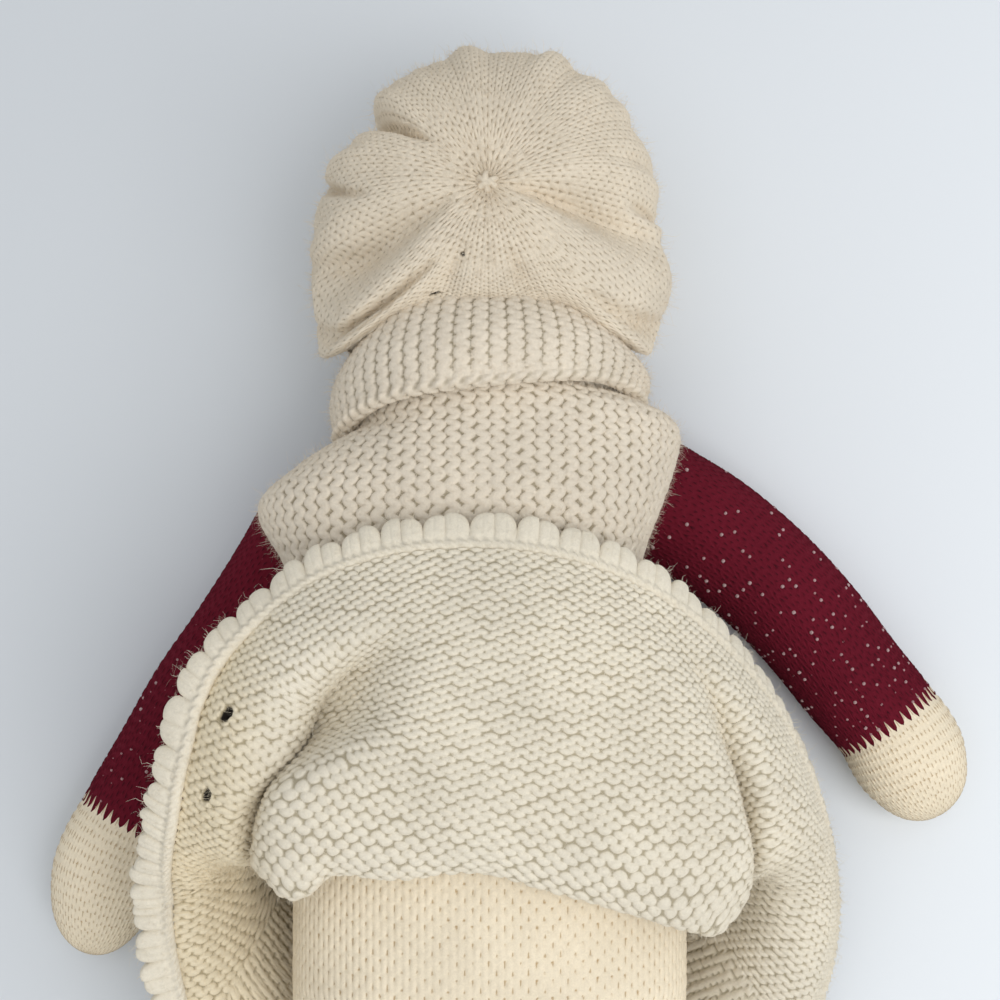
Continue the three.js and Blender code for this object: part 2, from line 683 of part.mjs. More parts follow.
// The skirt's middle surface: angle 0 is the back, v is 0 at the waist and 1 at the hem
function skirtPoint(angle, v) {
    const keys = skirtStations.map((s) => s.at);
    const points = skirtStations.map((s) => skirtStationPoint(s, angle));
    const at = (axis) => curveThrough(keys, points.map((p) => p[axis]))(v);
    const nearFold = Math.exp(-(((v - foldAt) / 0.13) ** 2)) * clamp01(Math.cos(angle) + 0.4);
    const y = at('y') + nearFold * tableCurve(foldSag)(at('x'));
    return vec(at('x'), y, at('z') - creaseDrop(angle, v));
}

function skirtNormal(angle, v) {
    const e = 1e-3;
    const du = skirtPoint(angle + e, v).sub(skirtPoint(angle - e, v));
    const v0 = clamp01(v - e);
    const v1 = clamp01(v + e);
    return du.cross(skirtPoint(angle, v1).sub(skirtPoint(angle, v0))).normalize();
}

// A closed sheet of the skirt between its rows; its columns lie closer together at the back
function skirtSheet(places, columns, bunch, wall, edge) {
    const side = (sign) => places.map((v, i) => Array.from({ length: columns }, (_, j) => {
        const even = (2 * Math.PI * j) / columns;
        const angle = even - bunch * Math.sin(even);
        const at = Math.min(v + (i === places.length - 1 ? edge(angle) : 0), 1);
        return skirtPoint(angle, at).addScaledVector(skirtNormal(angle, at), (sign * wall) / 2);
    }));
    return toSolid(ringMesh([...side(1), ...side(-1).reverse()], true));
}

const borderFrom = 1 - borderWidth / skirtLength;

function makeSkirt() {
    const places = [0.012, 0.1, 0.2, 0.27, 0.32, foldAt - 0.015, foldAt + 0.02, 0.43, 0.48, 0.54, 0.6,
        0.67, 0.74, 0.81, 0.88, borderFrom];
    const sheet = skirtSheet(places, skirtColumns, 0.5, skirtWall, () => 0);
    return toGeometry(onTable(sheet).subtract(bodyForm(gap)));
}

function makeBorder() {
    const columns = scallops * columnsPerScallop;
    const lobe = (angle) => -(scallopDepth / skirtLength) * (0.5 + 0.5 * Math.cos(scallops * angle));
    const places = [borderFrom + gap / skirtLength, 1];
    return toGeometry(onTable(skirtSheet(places, columns, 0, skirtWall * 1.15, lobe)));
}

// An arm: rings square to its smooth middle line, from one place to another along it
function armLine(side) {
    const points = arms[side].line.map(([x, y]) => vec(x, y, 0));
    const curve = new THREE.CatmullRomCurve3(points, false, 'centripetal');
    return { curve, length: curve.getLength(), cuff: 1 - arms[side].handLength / curve.getLength() };
}

const armZ = armHalfHeight - pressed;
const handEnd = (t) => Math.sqrt(Math.max(0, 1 - Math.max(0, (t - 0.35) / 0.65) ** 2.4));
const handSwell = (t) => 1 + 0.06 * Math.sin(Math.PI * Math.min(1, t * 1.6));

// Half width, half height and middle height of the arm: along runs from 0 at the shoulder to 1 at
// the cuff and on to 2 at the fingertips
function armSection(along) {
    if (along <= 1) {
        const half = lerp(shoulderHalfWidth, cuffHalfWidth, along);
        const rise = lerp(armHalfHeight, armHalfHeight - wristDrop, along);
        return { half, rise, z: rise - pressed };
    }
    const t = along - 1;
    const half = lerp(cuffHalfWidth, handHalfWidth, smooth(t)) * handSwell(t) * handEnd(t);
    const rise = (armHalfHeight - wristDrop - fingertipDrop * t) * handEnd(t);
    return { half, rise, z: lerp(armHalfHeight - wristDrop - pressed, fingertipZ, t * t) };
}

function armRing(side, at, middle, grow) {
    return Array.from({ length: limbSteps }, (_, j) => {
        const a = (2 * Math.PI * j) / limbSteps;
        const x = Math.max(at.half + grow, 0.4) * Math.cos(a);
        const z = at.z + Math.max(at.rise + grow, 0.4) * Math.sin(a);
        return middle.clone().addScaledVector(side, x).setZ(z);
    });
}

function armRings(name, from, to, grow) {
    const { curve, cuff } = armLine(name);
    const places = [from];
    for (let i = 1; i < armSteps * 2; i += 1) {
        const place = i / armSteps;
        if (place > from + 0.02 && place < to - 0.02) places.push(place);
    }
    places.push(to);
    return places.map((along) => {
        const t = along <= 1 ? along * cuff : cuff + (along - 1) * (1 - cuff);
        const tangent = curve.getTangentAt(t);
        const side = vec(tangent.y, -tangent.x, 0);
        return armRing(side, armSection(along), curve.getPointAt(t), grow);
    });
}

// The round top of the arm, turned about the shoulder pivot
function shoulderRings(name, grow) {
    const { curve } = armLine(name);
    const back = curve.getTangentAt(0).negate();
    const side = vec(-back.y, back.x, 0);
    return [0.97, 0.82, 0.5].map((f) => {
        const slim = Math.sqrt(1 - f * f);
        const at = { half: (shoulderHalfWidth + grow) * slim, rise: (armHalfHeight + grow) * slim, z: armZ };
        const middle = curve.getPointAt(0).addScaledVector(back, (shoulderHalfWidth + grow) * f);
        return armRing(side, at, middle, 0);
    });
}

const sleeveRings = (name, to, grow) => [...shoulderRings(name, grow), ...armRings(name, 0, to, grow)];

// A skin that is open at the cuff and closed at the shoulder
function makeSleeve(name) {
    const outer = sleeveRings(name, 1, 0);
    const inner = sleeveRings(name, 1, -knit);
    return toGeometry(onTable(toSolid(ringMesh([...outer, ...inner.reverse()]))));
}

// A skin that is open at the cuff and closed at the fingertips
function makeHand(name) {
    const from = 1 + gap / arms[name].handLength;
    const inner = armRings(name, from, 2 - knit / arms[name].handLength, -knit).reverse();
    const outer = armRings(name, from, 1.995, 0);
    return toGeometry(onTable(toSolid(ringMesh([...inner, ...outer]))));
}

function makeArmStuffing(name) {
    const to = 2 - (2 * knit) / arms[name].handLength;
    return ringMesh(sleeveRings(name, to, -(knit + fillGap)));
}

// A leg swells below its hip seam and narrows to the ankle
function legHalf(t) {
    const swell = legHalfWidth * (1 + 0.03 * Math.sin(Math.PI * t));
    return lerp(swell, ankleHalf, smooth(t));
}

const hipGapY = hipSeamY - turnGap;

const legPlaces = [0.03, 0.07, 0.125, 0.2, 0.3, 0.51, 0.75].map((share) => between(hipGapY, ankleY, share));

function legRings(side, fromY, toY, grow) {
    return ringPlaces(legPlaces, fromY, toY).map((y) => {
        const t = clamp01((hipGapY - y) / (hipGapY - ankleY));
        const opening = clamp01((hipGapY - y) / legSeamLength);
        const half = legHalf(t) + grow;
        const rise = lerp(seamHalfThickness, legHalf(t), Math.sin((Math.PI / 2) * opening) ** 1.1) + grow;
        const centreZ = lerp(hipZ, ankleZ, smooth(t));
        return ovalAtY(y, Math.max(half, 0.6), Math.max(rise, 0.5), centreZ, side * legX, limbSteps);
    });
}

function makeLeg(side) {
    const bottom = ankleY + gap / 2;
    const inner = legRings(side, bottom, hipGapY - knit * 2, -knit);
    const outer = legRings(side, hipGapY, bottom, 0);
    return ringMesh([...outer, ...inner]);
}

// The shoe: a leg's end that turns down into a foot whose toe rests on the table
function shoeRings(side, grow) {
    const toe = -pressed;
    const heel = ankleZ + shoeHeel;
    const places = [0, 0.15, 0.35, 0.55, 0.75, 0.9, 0.97, 1];
    return places.map((t) => {
        const y = lerp(ankleY - gap / 2, soleY, t);
        const open = smooth(t / 0.45);
        const low = lerp(ankleZ - ankleHalf, toe, open);
        const high = lerp(ankleZ + ankleHalf, heel, open);
        const end = Math.sqrt(Math.max(0.02, 1 - Math.max(0, (t - 0.6) / 0.42) ** 2.5));
        const half = lerp(ankleHalf, shoeHalfWidth, open) * lerp(1, end, 0.6) + grow;
        const rise = ((high - low) / 2) * lerp(1, end, 0.6) + grow;
        return ovalAtY(y, half, rise, (low + high) / 2, side * legX, limbSteps);
    });
}

function makeShoe(side) {
    const outer = shoeRings(side, 0);
    const inner = shoeRings(side, -knit).slice(0, -2);
    return toGeometry(onTable(toSolid(ringMesh([...inner.reverse(), ...outer]))));
}

function makeLegStuffing(side) {
    const layer = -(knit + fillGap);
    const leg = legRings(side, hipGapY - knit * 5, ankleY + gap, layer);
    const foot = shoeRings(side, layer).slice(1, -3);
    return ringMesh([...leg, ...foot]);
}

const doll = new THREE.Group();

function addPiece(name, geometry, color) {
    const material = new THREE.MeshStandardMaterial({ color, roughness: 0.95, metalness: 0 });
    const mesh = new THREE.Mesh(geometry, material);
    mesh.name = name;
    doll.add(mesh);
}

addPiece('torso_stuffing', makeTorsoStuffing(), stuffingWhite);
addPiece('bodice', makeBodice(), burgundy);
addPiece('lower_body', makeLowerBody(), clothCream);
addPiece('skirt_waistband', makeWaistband(), clothCream);
addPiece('skirt', makeSkirt(), clothCream);
addPiece('skirt_border', makeBorder(), clothCream);
addPiece('shawl', makeShawl(), clothBeige);
addPiece('shawl_collar', makeCollar(), clothBeige);
addPiece('neck_yarn', makeNeckYarn(), skinCream);
addPiece('head', makeHead(), skinCream);
addPiece('head_stuffing', makeHeadStuffing(), stuffingWhite);
addPiece('left_eye', makeEye(-1), eyeBrown);
addPiece('right_eye', makeEye(1), eyeBrown);
addPiece('mouth', makeMouth(), mouthRose);
addPiece('hair_fringe', makeHairFringe(), hairBrown);
addPiece('bonnet_crown', makeBonnetCrown(), clothBeige);
addPiece('bonnet_brim', makeBonnetBrim(), clothBeige);
for (const side of ['left', 'right']) {
    addPiece(`${side}_sleeve`, makeSleeve(side), burgundy);
    addPiece(`${side}_hand`, makeHand(side), skinCream);
    addPiece(`${side}_arm_stuffing`, makeArmStuffing(side), stuffingWhite);
}
for (const [name, side] of [['left', -1], ['right', 1]]) {
    addPiece(`${name}_leg`, makeLeg(side), skinCream);
    addPiece(`${name}_shoe`, makeShoe(side), burgundy);
    addPiece(`${name}_leg_stuffing`, makeLegStuffing(side), stuffingWhite);
}

// The origin is under the middle of the whole doll, on the table
const whole = new THREE.Box3().setFromObject(doll);
const middle = whole.getCenter(vec(0, 0, 0));
doll.position.set(-middle.x, -middle.y, -whole.min.z);

export default doll;
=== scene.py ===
"""A knitted prairie doll that lies on its face, with the back of its skirt turned up."""

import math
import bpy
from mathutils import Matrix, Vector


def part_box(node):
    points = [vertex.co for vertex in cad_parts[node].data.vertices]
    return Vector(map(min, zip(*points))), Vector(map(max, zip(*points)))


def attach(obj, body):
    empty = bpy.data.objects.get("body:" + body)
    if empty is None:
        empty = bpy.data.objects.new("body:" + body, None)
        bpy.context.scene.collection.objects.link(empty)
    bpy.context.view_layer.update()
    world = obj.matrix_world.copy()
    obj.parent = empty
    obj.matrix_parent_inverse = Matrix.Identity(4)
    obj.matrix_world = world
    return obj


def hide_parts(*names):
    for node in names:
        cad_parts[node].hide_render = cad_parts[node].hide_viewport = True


bl_info = {
    "name": "Prairie Doll",
    "version": (1, 0, 0),
    "blender": (4, 5, 0),
    "location": "View3D > Sidebar > Prairie Doll",
    "description": "Builds a hand-knitted doll round its packed frame",
    "category": "Object",
}

from functools import partial

import bpy
import numpy as np
from mathutils import Vector

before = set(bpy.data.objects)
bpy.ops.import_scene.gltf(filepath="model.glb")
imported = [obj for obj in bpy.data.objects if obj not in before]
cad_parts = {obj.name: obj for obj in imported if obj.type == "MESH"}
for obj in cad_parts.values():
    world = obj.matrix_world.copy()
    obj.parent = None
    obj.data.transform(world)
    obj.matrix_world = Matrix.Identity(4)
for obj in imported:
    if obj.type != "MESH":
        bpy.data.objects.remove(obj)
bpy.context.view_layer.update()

MM = 0.001
TURN = 2 * math.pi

# Body, in millimetres in the doll's own frame: +X its right, +Y its crown, +Z up from the table
BODY_AXIS_Z = 41.5
NECK_SEAM_Y = 29
WAIST_Y = -50
TAPER_Y = -146
HIP_SEAM_Y = -186
WAIST_HALF = 47.5
HIP_HALF = 57
HIP_RISE = 37.5
HIP_SEAM_HALF = (55, 3)
NECK_AXIS_Z = 44
NECK_RADIUS = 19
HEAD_CENTRE = (86, 46)
HEAD_HALF = (39.5, 37.5, 37)
PRESSED = 0.5

# Collar and shawl
COLLAR_TOP_Y = 45.2
COLLAR_HALF = (47, 46)
COLLAR_WALL = 5.5
SHAWL_LOW_Y = -44
SHAWL_TOP_Y = 29
SHAWL_TOP_Z = 86
SHAWL_EDGE_Z = 46

# Skirt
SKIRT_LENGTH = 174
SKIRT_WALL = 3
HEM_HALF = 103
HEM_DEPTH = 106
HEM_Y = -125
HEM_BACK_Z = 91
FOLD_Y = -115
EAR_HALF = 71
FOLD_AT = 0.37
PANEL_Z = 99
ROLL_Z = 56
ROLL_RUNS_ON = 1.6
ARM_LIFT = 12
SKIRT_COLUMNS = 1080
SKIRT_COLUMNS_BELOW = 130
SKIRT_ROWS = 700
BORDER_WIDTH = 8
SCALLOPS = 60
ON_BODY_Z = 81.5
FLAT_Z = 1
# Share of the length, half width, y and z at the back, the sides and the front, how fast z and y
# leave the back, squareness of the plan, and shift to the left
SKIRT_STATIONS = (
    (0, WAIST_HALF + 2.5, (-54, -54, -54), (ON_BODY_Z, BODY_AXIS_Z, FLAT_Z), 1, 1, 1, 0),
    (0.16, HIP_HALF + 3, (-82, -78, -80), (ON_BODY_Z + 1, 30, FLAT_Z), 1, 1, 0.95, 0),
    (0.31, EAR_HALF - 5, (FOLD_Y + 9, FOLD_Y + 17, FOLD_Y), (82.6, 20, FLAT_Z), 0.8, 0.8, 0.8, 0),
    (FOLD_AT, EAR_HALF, (FOLD_Y, FOLD_Y + 7, FOLD_Y - 17), (86, 30, FLAT_Z), 0.8, 0.8, 0.75, 0),
    (0.43, EAR_HALF + 3, (FOLD_Y + 7, FOLD_Y + 3, FOLD_Y - 30), (92, 44, FLAT_Z), 0.8, 0.8, 0.75, -1),
    (0.62, HEM_HALF - 20, (FOLD_Y + 35, HEM_Y + 7, FOLD_Y - 60), (PANEL_Z, ROLL_Z, FLAT_Z),
     1, 1, 0.8, -4),
    (0.82, HEM_HALF - 8, (HEM_Y + 80, HEM_Y + 2, HEM_Y - 80), (98, ROLL_Z - 7, FLAT_Z),
     1.2, 1.05, 0.9, -6),
    (1, HEM_HALF, (HEM_Y + HEM_DEPTH, HEM_Y, HEM_Y - HEM_DEPTH), (HEM_BACK_Z, 24, FLAT_Z),
     1.4, 1.1, 0.95, -7),
)
# The creases beside the turned-up panel: share of the length, angle from the back and depth
CREASES = {
    -1: ((0.36, 64, 4), (0.41, 59, 11), (0.48, 51, 13), (0.53, 47, 14), (0.59, 41, 17), (0.63, 37, 20),
         (0.67, 32, 22), (0.71, 28, 21), (0.745, 24, 17), (0.77, 19, 12), (0.79, 14, 7), (0.82, 7, 2),
         (0.9, 0, 0)),
    1: ((0.36, 76, 0), (0.43, 73, 8), (0.515, 66, 12), (0.6, 57, 13), (0.67, 51, 13), (0.73, 45, 10),
        (0.79, 41, 7), (0.85, 36, 3), (0.92, 30, 0)),
}
CREASE_STEEP = 0.12
CREASE_EASY = 0.3
# How far the fold's lower edge hangs down, across the doll
FOLD_SAG = ((-74, 0), (-62, 1), (-55, -4.5), (-49, -3), (-42, 3), (-25, 3), (-3, 5), (17, 0), (36, -6),
            (56, -14), (65, -17), (76, -10))

# Where the border is joined, as a share of the length: it rides up on the left, over the arm
BORDER_AT = 0.945
BORDER_LINE = ((-180, BORDER_AT), (-150, BORDER_AT), (-125, 0.86), (-106, 0.752), (-94, 0.72), (-84, 0.71),
               (-75, 0.7), (-66, 0.71), (-58, 0.755), (-52.5, 0.8), (-49, 0.845), (-44.5, 0.883),
               (-40.5, 0.905), (-35, 0.92), (-29.5, 0.935), (-20, BORDER_AT), (180, BORDER_AT))

# Two dropped stitches in the skirt, painted dark as shadow: angle from the back, share of the length and
# size
SKIRT_HOLES = ((-0.75, 0.79, 2.3), (-0.95, 0.677, 2.2))

# Arms: the middle line of each, and the share of it that is the hand
ARM_HALF_HEIGHT = 18.5
SHOULDER_HALF = 19.5
CUFF_HALF = 17
HAND_HALF = 16
ARMS = {
    "left": (((-54.8, -12), (-64, -28), (-77, -48), (-89, -65), (-100, -84), (-111, -103),
              (-119, -121), (-125, -144)), 43),
    "right": (((53.4, -3), (70, -13), (87, -27), (101, -42), (114, -59), (126, -74),
               (134, -88), (141, -102)), 33),
}
CUFF_TEETH = 1.3

# Legs and shoes
LEG_X = 28
HIP_Z = BODY_AXIS_Z
LEG_HALF = 26.5
LEG_SEAM = 34
ANKLE_Y = -300
ANKLE_Z = 45
ANKLE_HALF = 21
SOLE_Y = -334
SHOE_HEEL = 24
SHOE_HALF = 23

# The plain face and the bonnet's brim
EYE_RADIUS = 4
EYE_SPACING = 30
EYE_Y = 89
MOUTH_WIDTH = 18
MOUTH_Y = 74
FRINGE_WIDTH = 42
FRINGE_Y = 109
FRINGE_LENGTH = 11
BRIM_WALL = 4

# Stitches round each piece
WALES = {"body": 70, "bodice": 60, "collar": 60, "bonnet": 88, "brim": 66, "head": 46, "sleeve": 38,
         "hand": 38, "leg": 27, "shoe": 27}
STUFFING_COURSES = 37
# Height of one course of each piece, in millimetres
COURSE = {"body": 4.7, "bodice": 3.4, "shawl": 4.5, "collar": 2.9, "bonnet": 3.0, "brim": 4.4,
          "head": 5.0, "sleeve": 3.1, "hand": 3.2, "leg": 5.4, "shoe": 5.0}
SHAWL_WALE = 4.15
# Loose fibres on each piece: how many, how long in millimetres, and their seed
FUZZ = {"body": (3000, 1.8, 50), "skirt": (20000, 2.2, 51), "border": (7000, 2.4, 52),
        "shawl": (7000, 2.2, 53), "collar": (6000, 2.2, 54), "bonnet": (16000, 2.6, 55),
        "sleeve": (8000, 2.0, 60), "hand": (2000, 1.8, 62)}
# Height in the stitches at which the cloth's own surface lies
LEVEL = 0.75

# Clumps of fibres and uneven patches of dye in each millimetre of yarn
CLUMPS_PER_MM = 1.1
PATCHES_PER_MM = 0.038

# Nothing sinks into the table
TABLE_GAP = 0.05

# The camera looks down from below the doll's waist
CAMERA_LENS = 51.84
CAMERA_SENSOR = 36
CAMERA_TARGET = (3, 0, 0)
CAMERA_OFFSET = (0, -66.8, 475.3)
# Each lamp's name, place and size in metres, and its power
LAMPS = (("window", (0.52, -0.3, 0.92), 0.8, 5.2), ("ceiling", (-0.15, -0.05, 1.2), 1.2, 3.1))

body_low, body_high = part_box("lower_body")
ROW_SHIFT = np.array([(body_low.x + body_high.x) / 2 / MM, body_low.y / MM - HIP_SEAM_Y, 0.0])


def linear(code):
    """A colour written as sRGB hex, as the linear values that shaders take."""
    parts = [int(code[i:i + 2], 16) / 255 for i in (0, 2, 4)]
    return [c / 12.92 if c <= 0.04045 else ((c + 0.055) / 1.055) ** 2.4 for c in parts]


def smooth(t):
    t = np.clip(t, 0, 1)
    return t * t * (3 - 2 * t)


def mix(a, b, t):
    return a + (b - a) * t


def through(keys, values, x):
    """A smooth curve through one value, or one array of them, for each key."""
    keys = np.asarray(keys, float)
    x = np.asarray(x, float)
    values = np.stack([np.broadcast_to(np.asarray(v, float), x.shape) for v in values])
    steps = np.diff(keys).reshape((-1,) + (1,) * x.ndim)
    slopes = np.empty_like(values)
    slopes[1:-1] = (values[2:] - values[:-2]) / (steps[1:] + steps[:-1])
    slopes[0] = (values[1] - values[0]) / steps[0]
    slopes[-1] = (values[-1] - values[-2]) / steps[-1]
    i = np.clip(np.searchsorted(keys, x, side="right") - 1, 0, len(keys) - 2)
    span = keys[i + 1] - keys[i]
    t = np.clip((x - keys[i]) / span, 0, 1)
    s = 1 - t
    pick = lambda rows, k: np.take_along_axis(rows, k[None], 0)[0]
    ends = s * s * (1 + 2 * t) * pick(values, i) + t * t * (3 - 2 * t) * pick(values, i + 1)
    return ends + span * t * s * (s * pick(slopes, i) - t * pick(slopes, i + 1))


def follow(table, x):
    """A smooth curve through a table's pairs of key and value."""
    keys, values = zip(*table)
    return through(keys, values, x)


def from_back(angle):
    """An angle as degrees from -180 to 180, away from the middle of the back or of the crown."""
    return np.degrees(np.arctan2(np.sin(angle), np.cos(angle)))


def by_angle(table, angle):
    return follow(table, from_back(angle))


def scatter(i, j, seed):
    """A repeatable number from 0 to 1 for each stitch."""
    n = np.sin(i * 12.9898 + j * 78.233 + seed * 37.719) * 43758.5453
    return n - np.floor(n)


def stocking_stitch(w, c, seed, lean=0.24, half=0.252, tall=0.62):
    """The knit side: the two legs of each stitch lean apart, with small gaps between the stitches."""
    column = np.floor(w)
    x = np.abs(w - column - 0.5 + 0.05 * (scatter(column, np.floor(c), seed + 1) - 0.5))
    height = np.zeros_like(w)
    for step in (-1, 0, 1):
        row = np.floor(c) + step
        luck = scatter(column, row, seed)
        y = c - row - 0.5 + 0.08 * (luck - 0.5)
        across = (x - 0.25 - lean * y) / (half * (0.94 + 0.1 * luck))
        leg = np.sqrt(np.clip(1 - across ** 2 - (y / tall) ** 4, 0, 1))
        height = np.maximum(height, leg * (0.9 + 0.16 * luck))
    return height


def purl_stitch(w, c, seed):
    """The purl side: in each course the yarn waves, and its crests and its dips stand up as small bumps."""
    height = np.zeros_like(w)
    for offset, turn in ((0.0, 1), (0.5, -1)):
        column = np.floor(w - offset + 0.5)
        middle = np.floor(c - offset + 0.5)
        for step in (-1, 0, 1):
            row = middle + step
            luck = scatter(column, row, seed + offset)
            x = w - offset - column + 0.1 * (luck - 0.5)
            y = c - offset - row + 0.16 * (scatter(row, column, seed) - 0.5)
            y = y - turn * 0.03 * (1 - np.cos(TURN * x))
            bump = np.clip(1 - (x / 0.47) ** 2 - (y / 0.34) ** 2, 0, 1) ** 0.7
            height = np.maximum(height, bump * (0.8 + 0.3 * luck))
    return height


def garter_stitch(w, c, seed, sway=0.3, half=0.28, tall=0.86):
    """Garter: down each wale a strand sways from side to side, and its bends close to short slits."""
    height = np.zeros_like(w)
    for step in (-1, 0, 1):
        number = np.floor(w) + step
        start = 0.1 * np.sin(2.4 * number + seed) + 0.08 * np.sin(0.9 * c + 1.7 * number)
        nearest = np.full_like(w, 9.0)
        for ahead in np.linspace(-0.5, 0.5, 15):
            across = w - number - 0.5 - sway * np.sin(TURN * (c + ahead + start))
            nearest = np.minimum(nearest, across ** 2 + (tall * ahead) ** 2)
        luck = np.sin(1.9 * c + 5.1 * number + seed)
        strand = np.sqrt(np.clip(1 - nearest / half ** 2, 0, 1))
        lift = 0.9 + 0.05 * luck + 0.08 * np.cos(TURN * (c + start))
        height = np.maximum(height, strand * lift)
    return height


def wales(angle, kind):
    return angle * WALES[kind] / TURN


def courses(base, kind):
    """Courses run down a grid, the same right across it."""
    run = lengths(base, 0).mean(axis=1, keepdims=True) / COURSE[kind]
    return np.broadcast_to(run, base.shape[:2])


def unit(vectors):
    return vectors / np.maximum(np.linalg.norm(vectors, axis=-1, keepdims=True), 1e-9)


def normals(points, closed):
    """Unit normals of a grid of points: across its rows, then along them."""
    if closed:
        across = np.roll(points, -1, 1) - np.roll(points, 1, 1)
    else:
        across = np.gradient(points, axis=1)
    along = np.gradient(points, axis=0)
    return unit(np.cross(across, along))


def stitch_field(points, across, pitch):
    """Counts of stitches and of courses over a bent sheet, such that the stitches keep their size.
    Courses run along `across`, and each count is the least-squares fit to its own steps."""
    def solve(points, across, pitch, guess, turns):
        out = normals(points, False)
        course = unit(across - (across * out).sum(-1, keepdims=True) * out)
        wale = np.cross(out, course)
        steps = [np.diff(points, axis=axis) for axis in (0, 1)]
        sizes = [np.maximum(np.linalg.norm(step, axis=-1), 1e-6) for step in steps]
        down = np.pad(sizes[0], ((0, 1), (0, 0)), "edge")
        right = np.pad(sizes[1], ((0, 0), (0, 1)), "edge")
        weights = [np.clip(right[1:] / sizes[0], 0.02, 50), np.clip(down[:, 1:] / sizes[1], 0.02, 50)]
        mid = lambda a, axis: (a[1:] + a[:-1]) / 2 if axis == 0 else (a[:, 1:] + a[:, :-1]) / 2

        def gather(flows):
            total = np.zeros(points.shape[:2])
            total[1:] += flows[0]
            total[:-1] -= flows[0]
            total[:, 1:] += flows[1]
            total[:, :-1] -= flows[1]
            return total

        # Conjugate gradients, with each point's own share of the system to scale it
        fields = []
        for heading, size, first in ((course, pitch[0], guess[0]), (wale, pitch[1], guess[1])):
            aims = [(steps[axis] * mid(heading / size[..., None], axis)).sum(-1) for axis in (0, 1)]
            field = first.copy()
            spread = lambda f: gather([weights[axis] * np.diff(f, axis=axis) for axis in (0, 1)])
            rest = gather([weights[axis] * aims[axis] for axis in (0, 1)]) - spread(field)
            scale = np.ones(points.shape[:2])
            scale[1:] += weights[0]
            scale[:-1] += weights[0]
            scale[:, 1:] += weights[1]
            scale[:, :-1] += weights[1]
            ready = rest / scale
            way = ready.copy()
            power = (rest * ready).sum()
            for _ in range(turns):
                moved = spread(way)
                share = power / max((way * moved).sum(), 1e-12)
                field += share * way
                rest -= share * moved
                ready = rest / scale
                next_power = (rest * ready).sum()
                way = ready + next_power / max(power, 1e-12) * way
                power = next_power
            fields.append(field)
        return fields

    rows = np.linspace(0, points.shape[0] - 1, min(points.shape[0], 90)).round().astype(int)
    columns = np.linspace(0, points.shape[1] - 1, min(points.shape[1], 150)).round().astype(int)
    few = np.ix_(rows, columns)
    blank = np.zeros((len(rows), len(columns)))
    rough = solve(points[few], across[few], [p[few] for p in pitch], [blank, blank], 700)
    fine = []
    for field in rough:
        wide = np.stack([np.interp(np.arange(points.shape[1]), columns, row) for row in field])
        tall = np.arange(points.shape[0])
        place = np.interp(tall, rows, np.arange(len(rows)))
        low = np.minimum(place.astype(int), len(rows) - 2)
        fine.append(mix(wide[low], wide[low + 1], (place - low)[:, None]))
    return solve(points, across, pitch, fine, 25)


def raised(points, height, closed, side=1):
    return points + side * normals(points, closed) * height[..., None]


def piece(name, grids, stride=1):
    """One mesh from grids. Each is its points in millimetres, whether its rows close, whether it is
    flipped, and how deep each point lies in the stitches, from 0 to 1."""
    places, quads, depths, charts = [], [], [], []
    first = 0
    for k, (points, closed, flip, depth) in enumerate(grids):
        rows, columns = points.shape[:2]
        i = np.arange(rows - 1)[:, None]
        j = np.arange(0, columns if closed else columns - 1, stride)[None, :]
        right = (j + 1) % columns
        near, far = i * columns, (i + 1) * columns
        corners = [(near + j, i, j), (near + right, i, j + 1), (far + right, i + 1, j + 1),
                   (far + j, i + 1, j)]
        if flip:
            corners.reverse()
        quads.append(np.stack([q for q, _, _ in corners], -1).reshape(-1, 4) + first)
        shape = np.broadcast(i, j).shape
        us = [np.broadcast_to((q + 0.02) / (columns * 1.02), shape) for _, _, q in corners]
        vs = [np.broadcast_to((k + 0.02 + 0.96 * q / rows) / len(grids), shape) for _, q, _ in corners]
        charts.append(np.stack([np.stack(us, -1), np.stack(vs, -1)], -1).reshape(-1, 2))
        places.append(np.maximum(points.reshape(-1, 3), (-math.inf, -math.inf, TABLE_GAP)))
        depths.append(np.broadcast_to(depth, points.shape[:2]).reshape(-1))
        first += rows * columns
    co = (np.concatenate(places) + ROW_SHIFT) * MM
    loops = np.concatenate(quads)
    mesh = bpy.data.meshes.new(name)
    mesh.vertices.add(len(co))
    mesh.vertices.foreach_set("co", co.astype(np.float32).ravel())
    mesh.loops.add(loops.size)
    mesh.loops.foreach_set("vertex_index", loops.astype(np.int32).ravel())
    mesh.polygons.add(len(loops))
    mesh.polygons.foreach_set("loop_start", np.arange(0, loops.size, 4, dtype=np.int32))
    mesh.polygons.foreach_set("use_smooth", np.ones(len(loops), bool))
    mesh.update(calc_edges=True)
    chart = mesh.uv_layers.new(name="OFBake")
    chart.data.foreach_set("uv", np.concatenate(charts).astype(np.float32).ravel())
    stitch = mesh.attributes.new("stitch_height", "FLOAT", "POINT")
    stitch.data.foreach_set("value", np.concatenate(depths).astype(np.float32))
    mesh.validate()
    obj = bpy.data.objects.new(name, mesh)
    bpy.context.scene.collection.objects.link(obj)
    return obj


def knit(name, grids, key, body, *nodes, fill=None, stride=1):
    """A piece of one yarn that rides a body and takes the place of the frame's own solids. Its fill
    is not used."""
    obj = piece(name, grids, stride)
    obj.data.materials.append(yarn(key))
    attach(obj, body)
    if nodes:
        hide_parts(*nodes)
    return obj


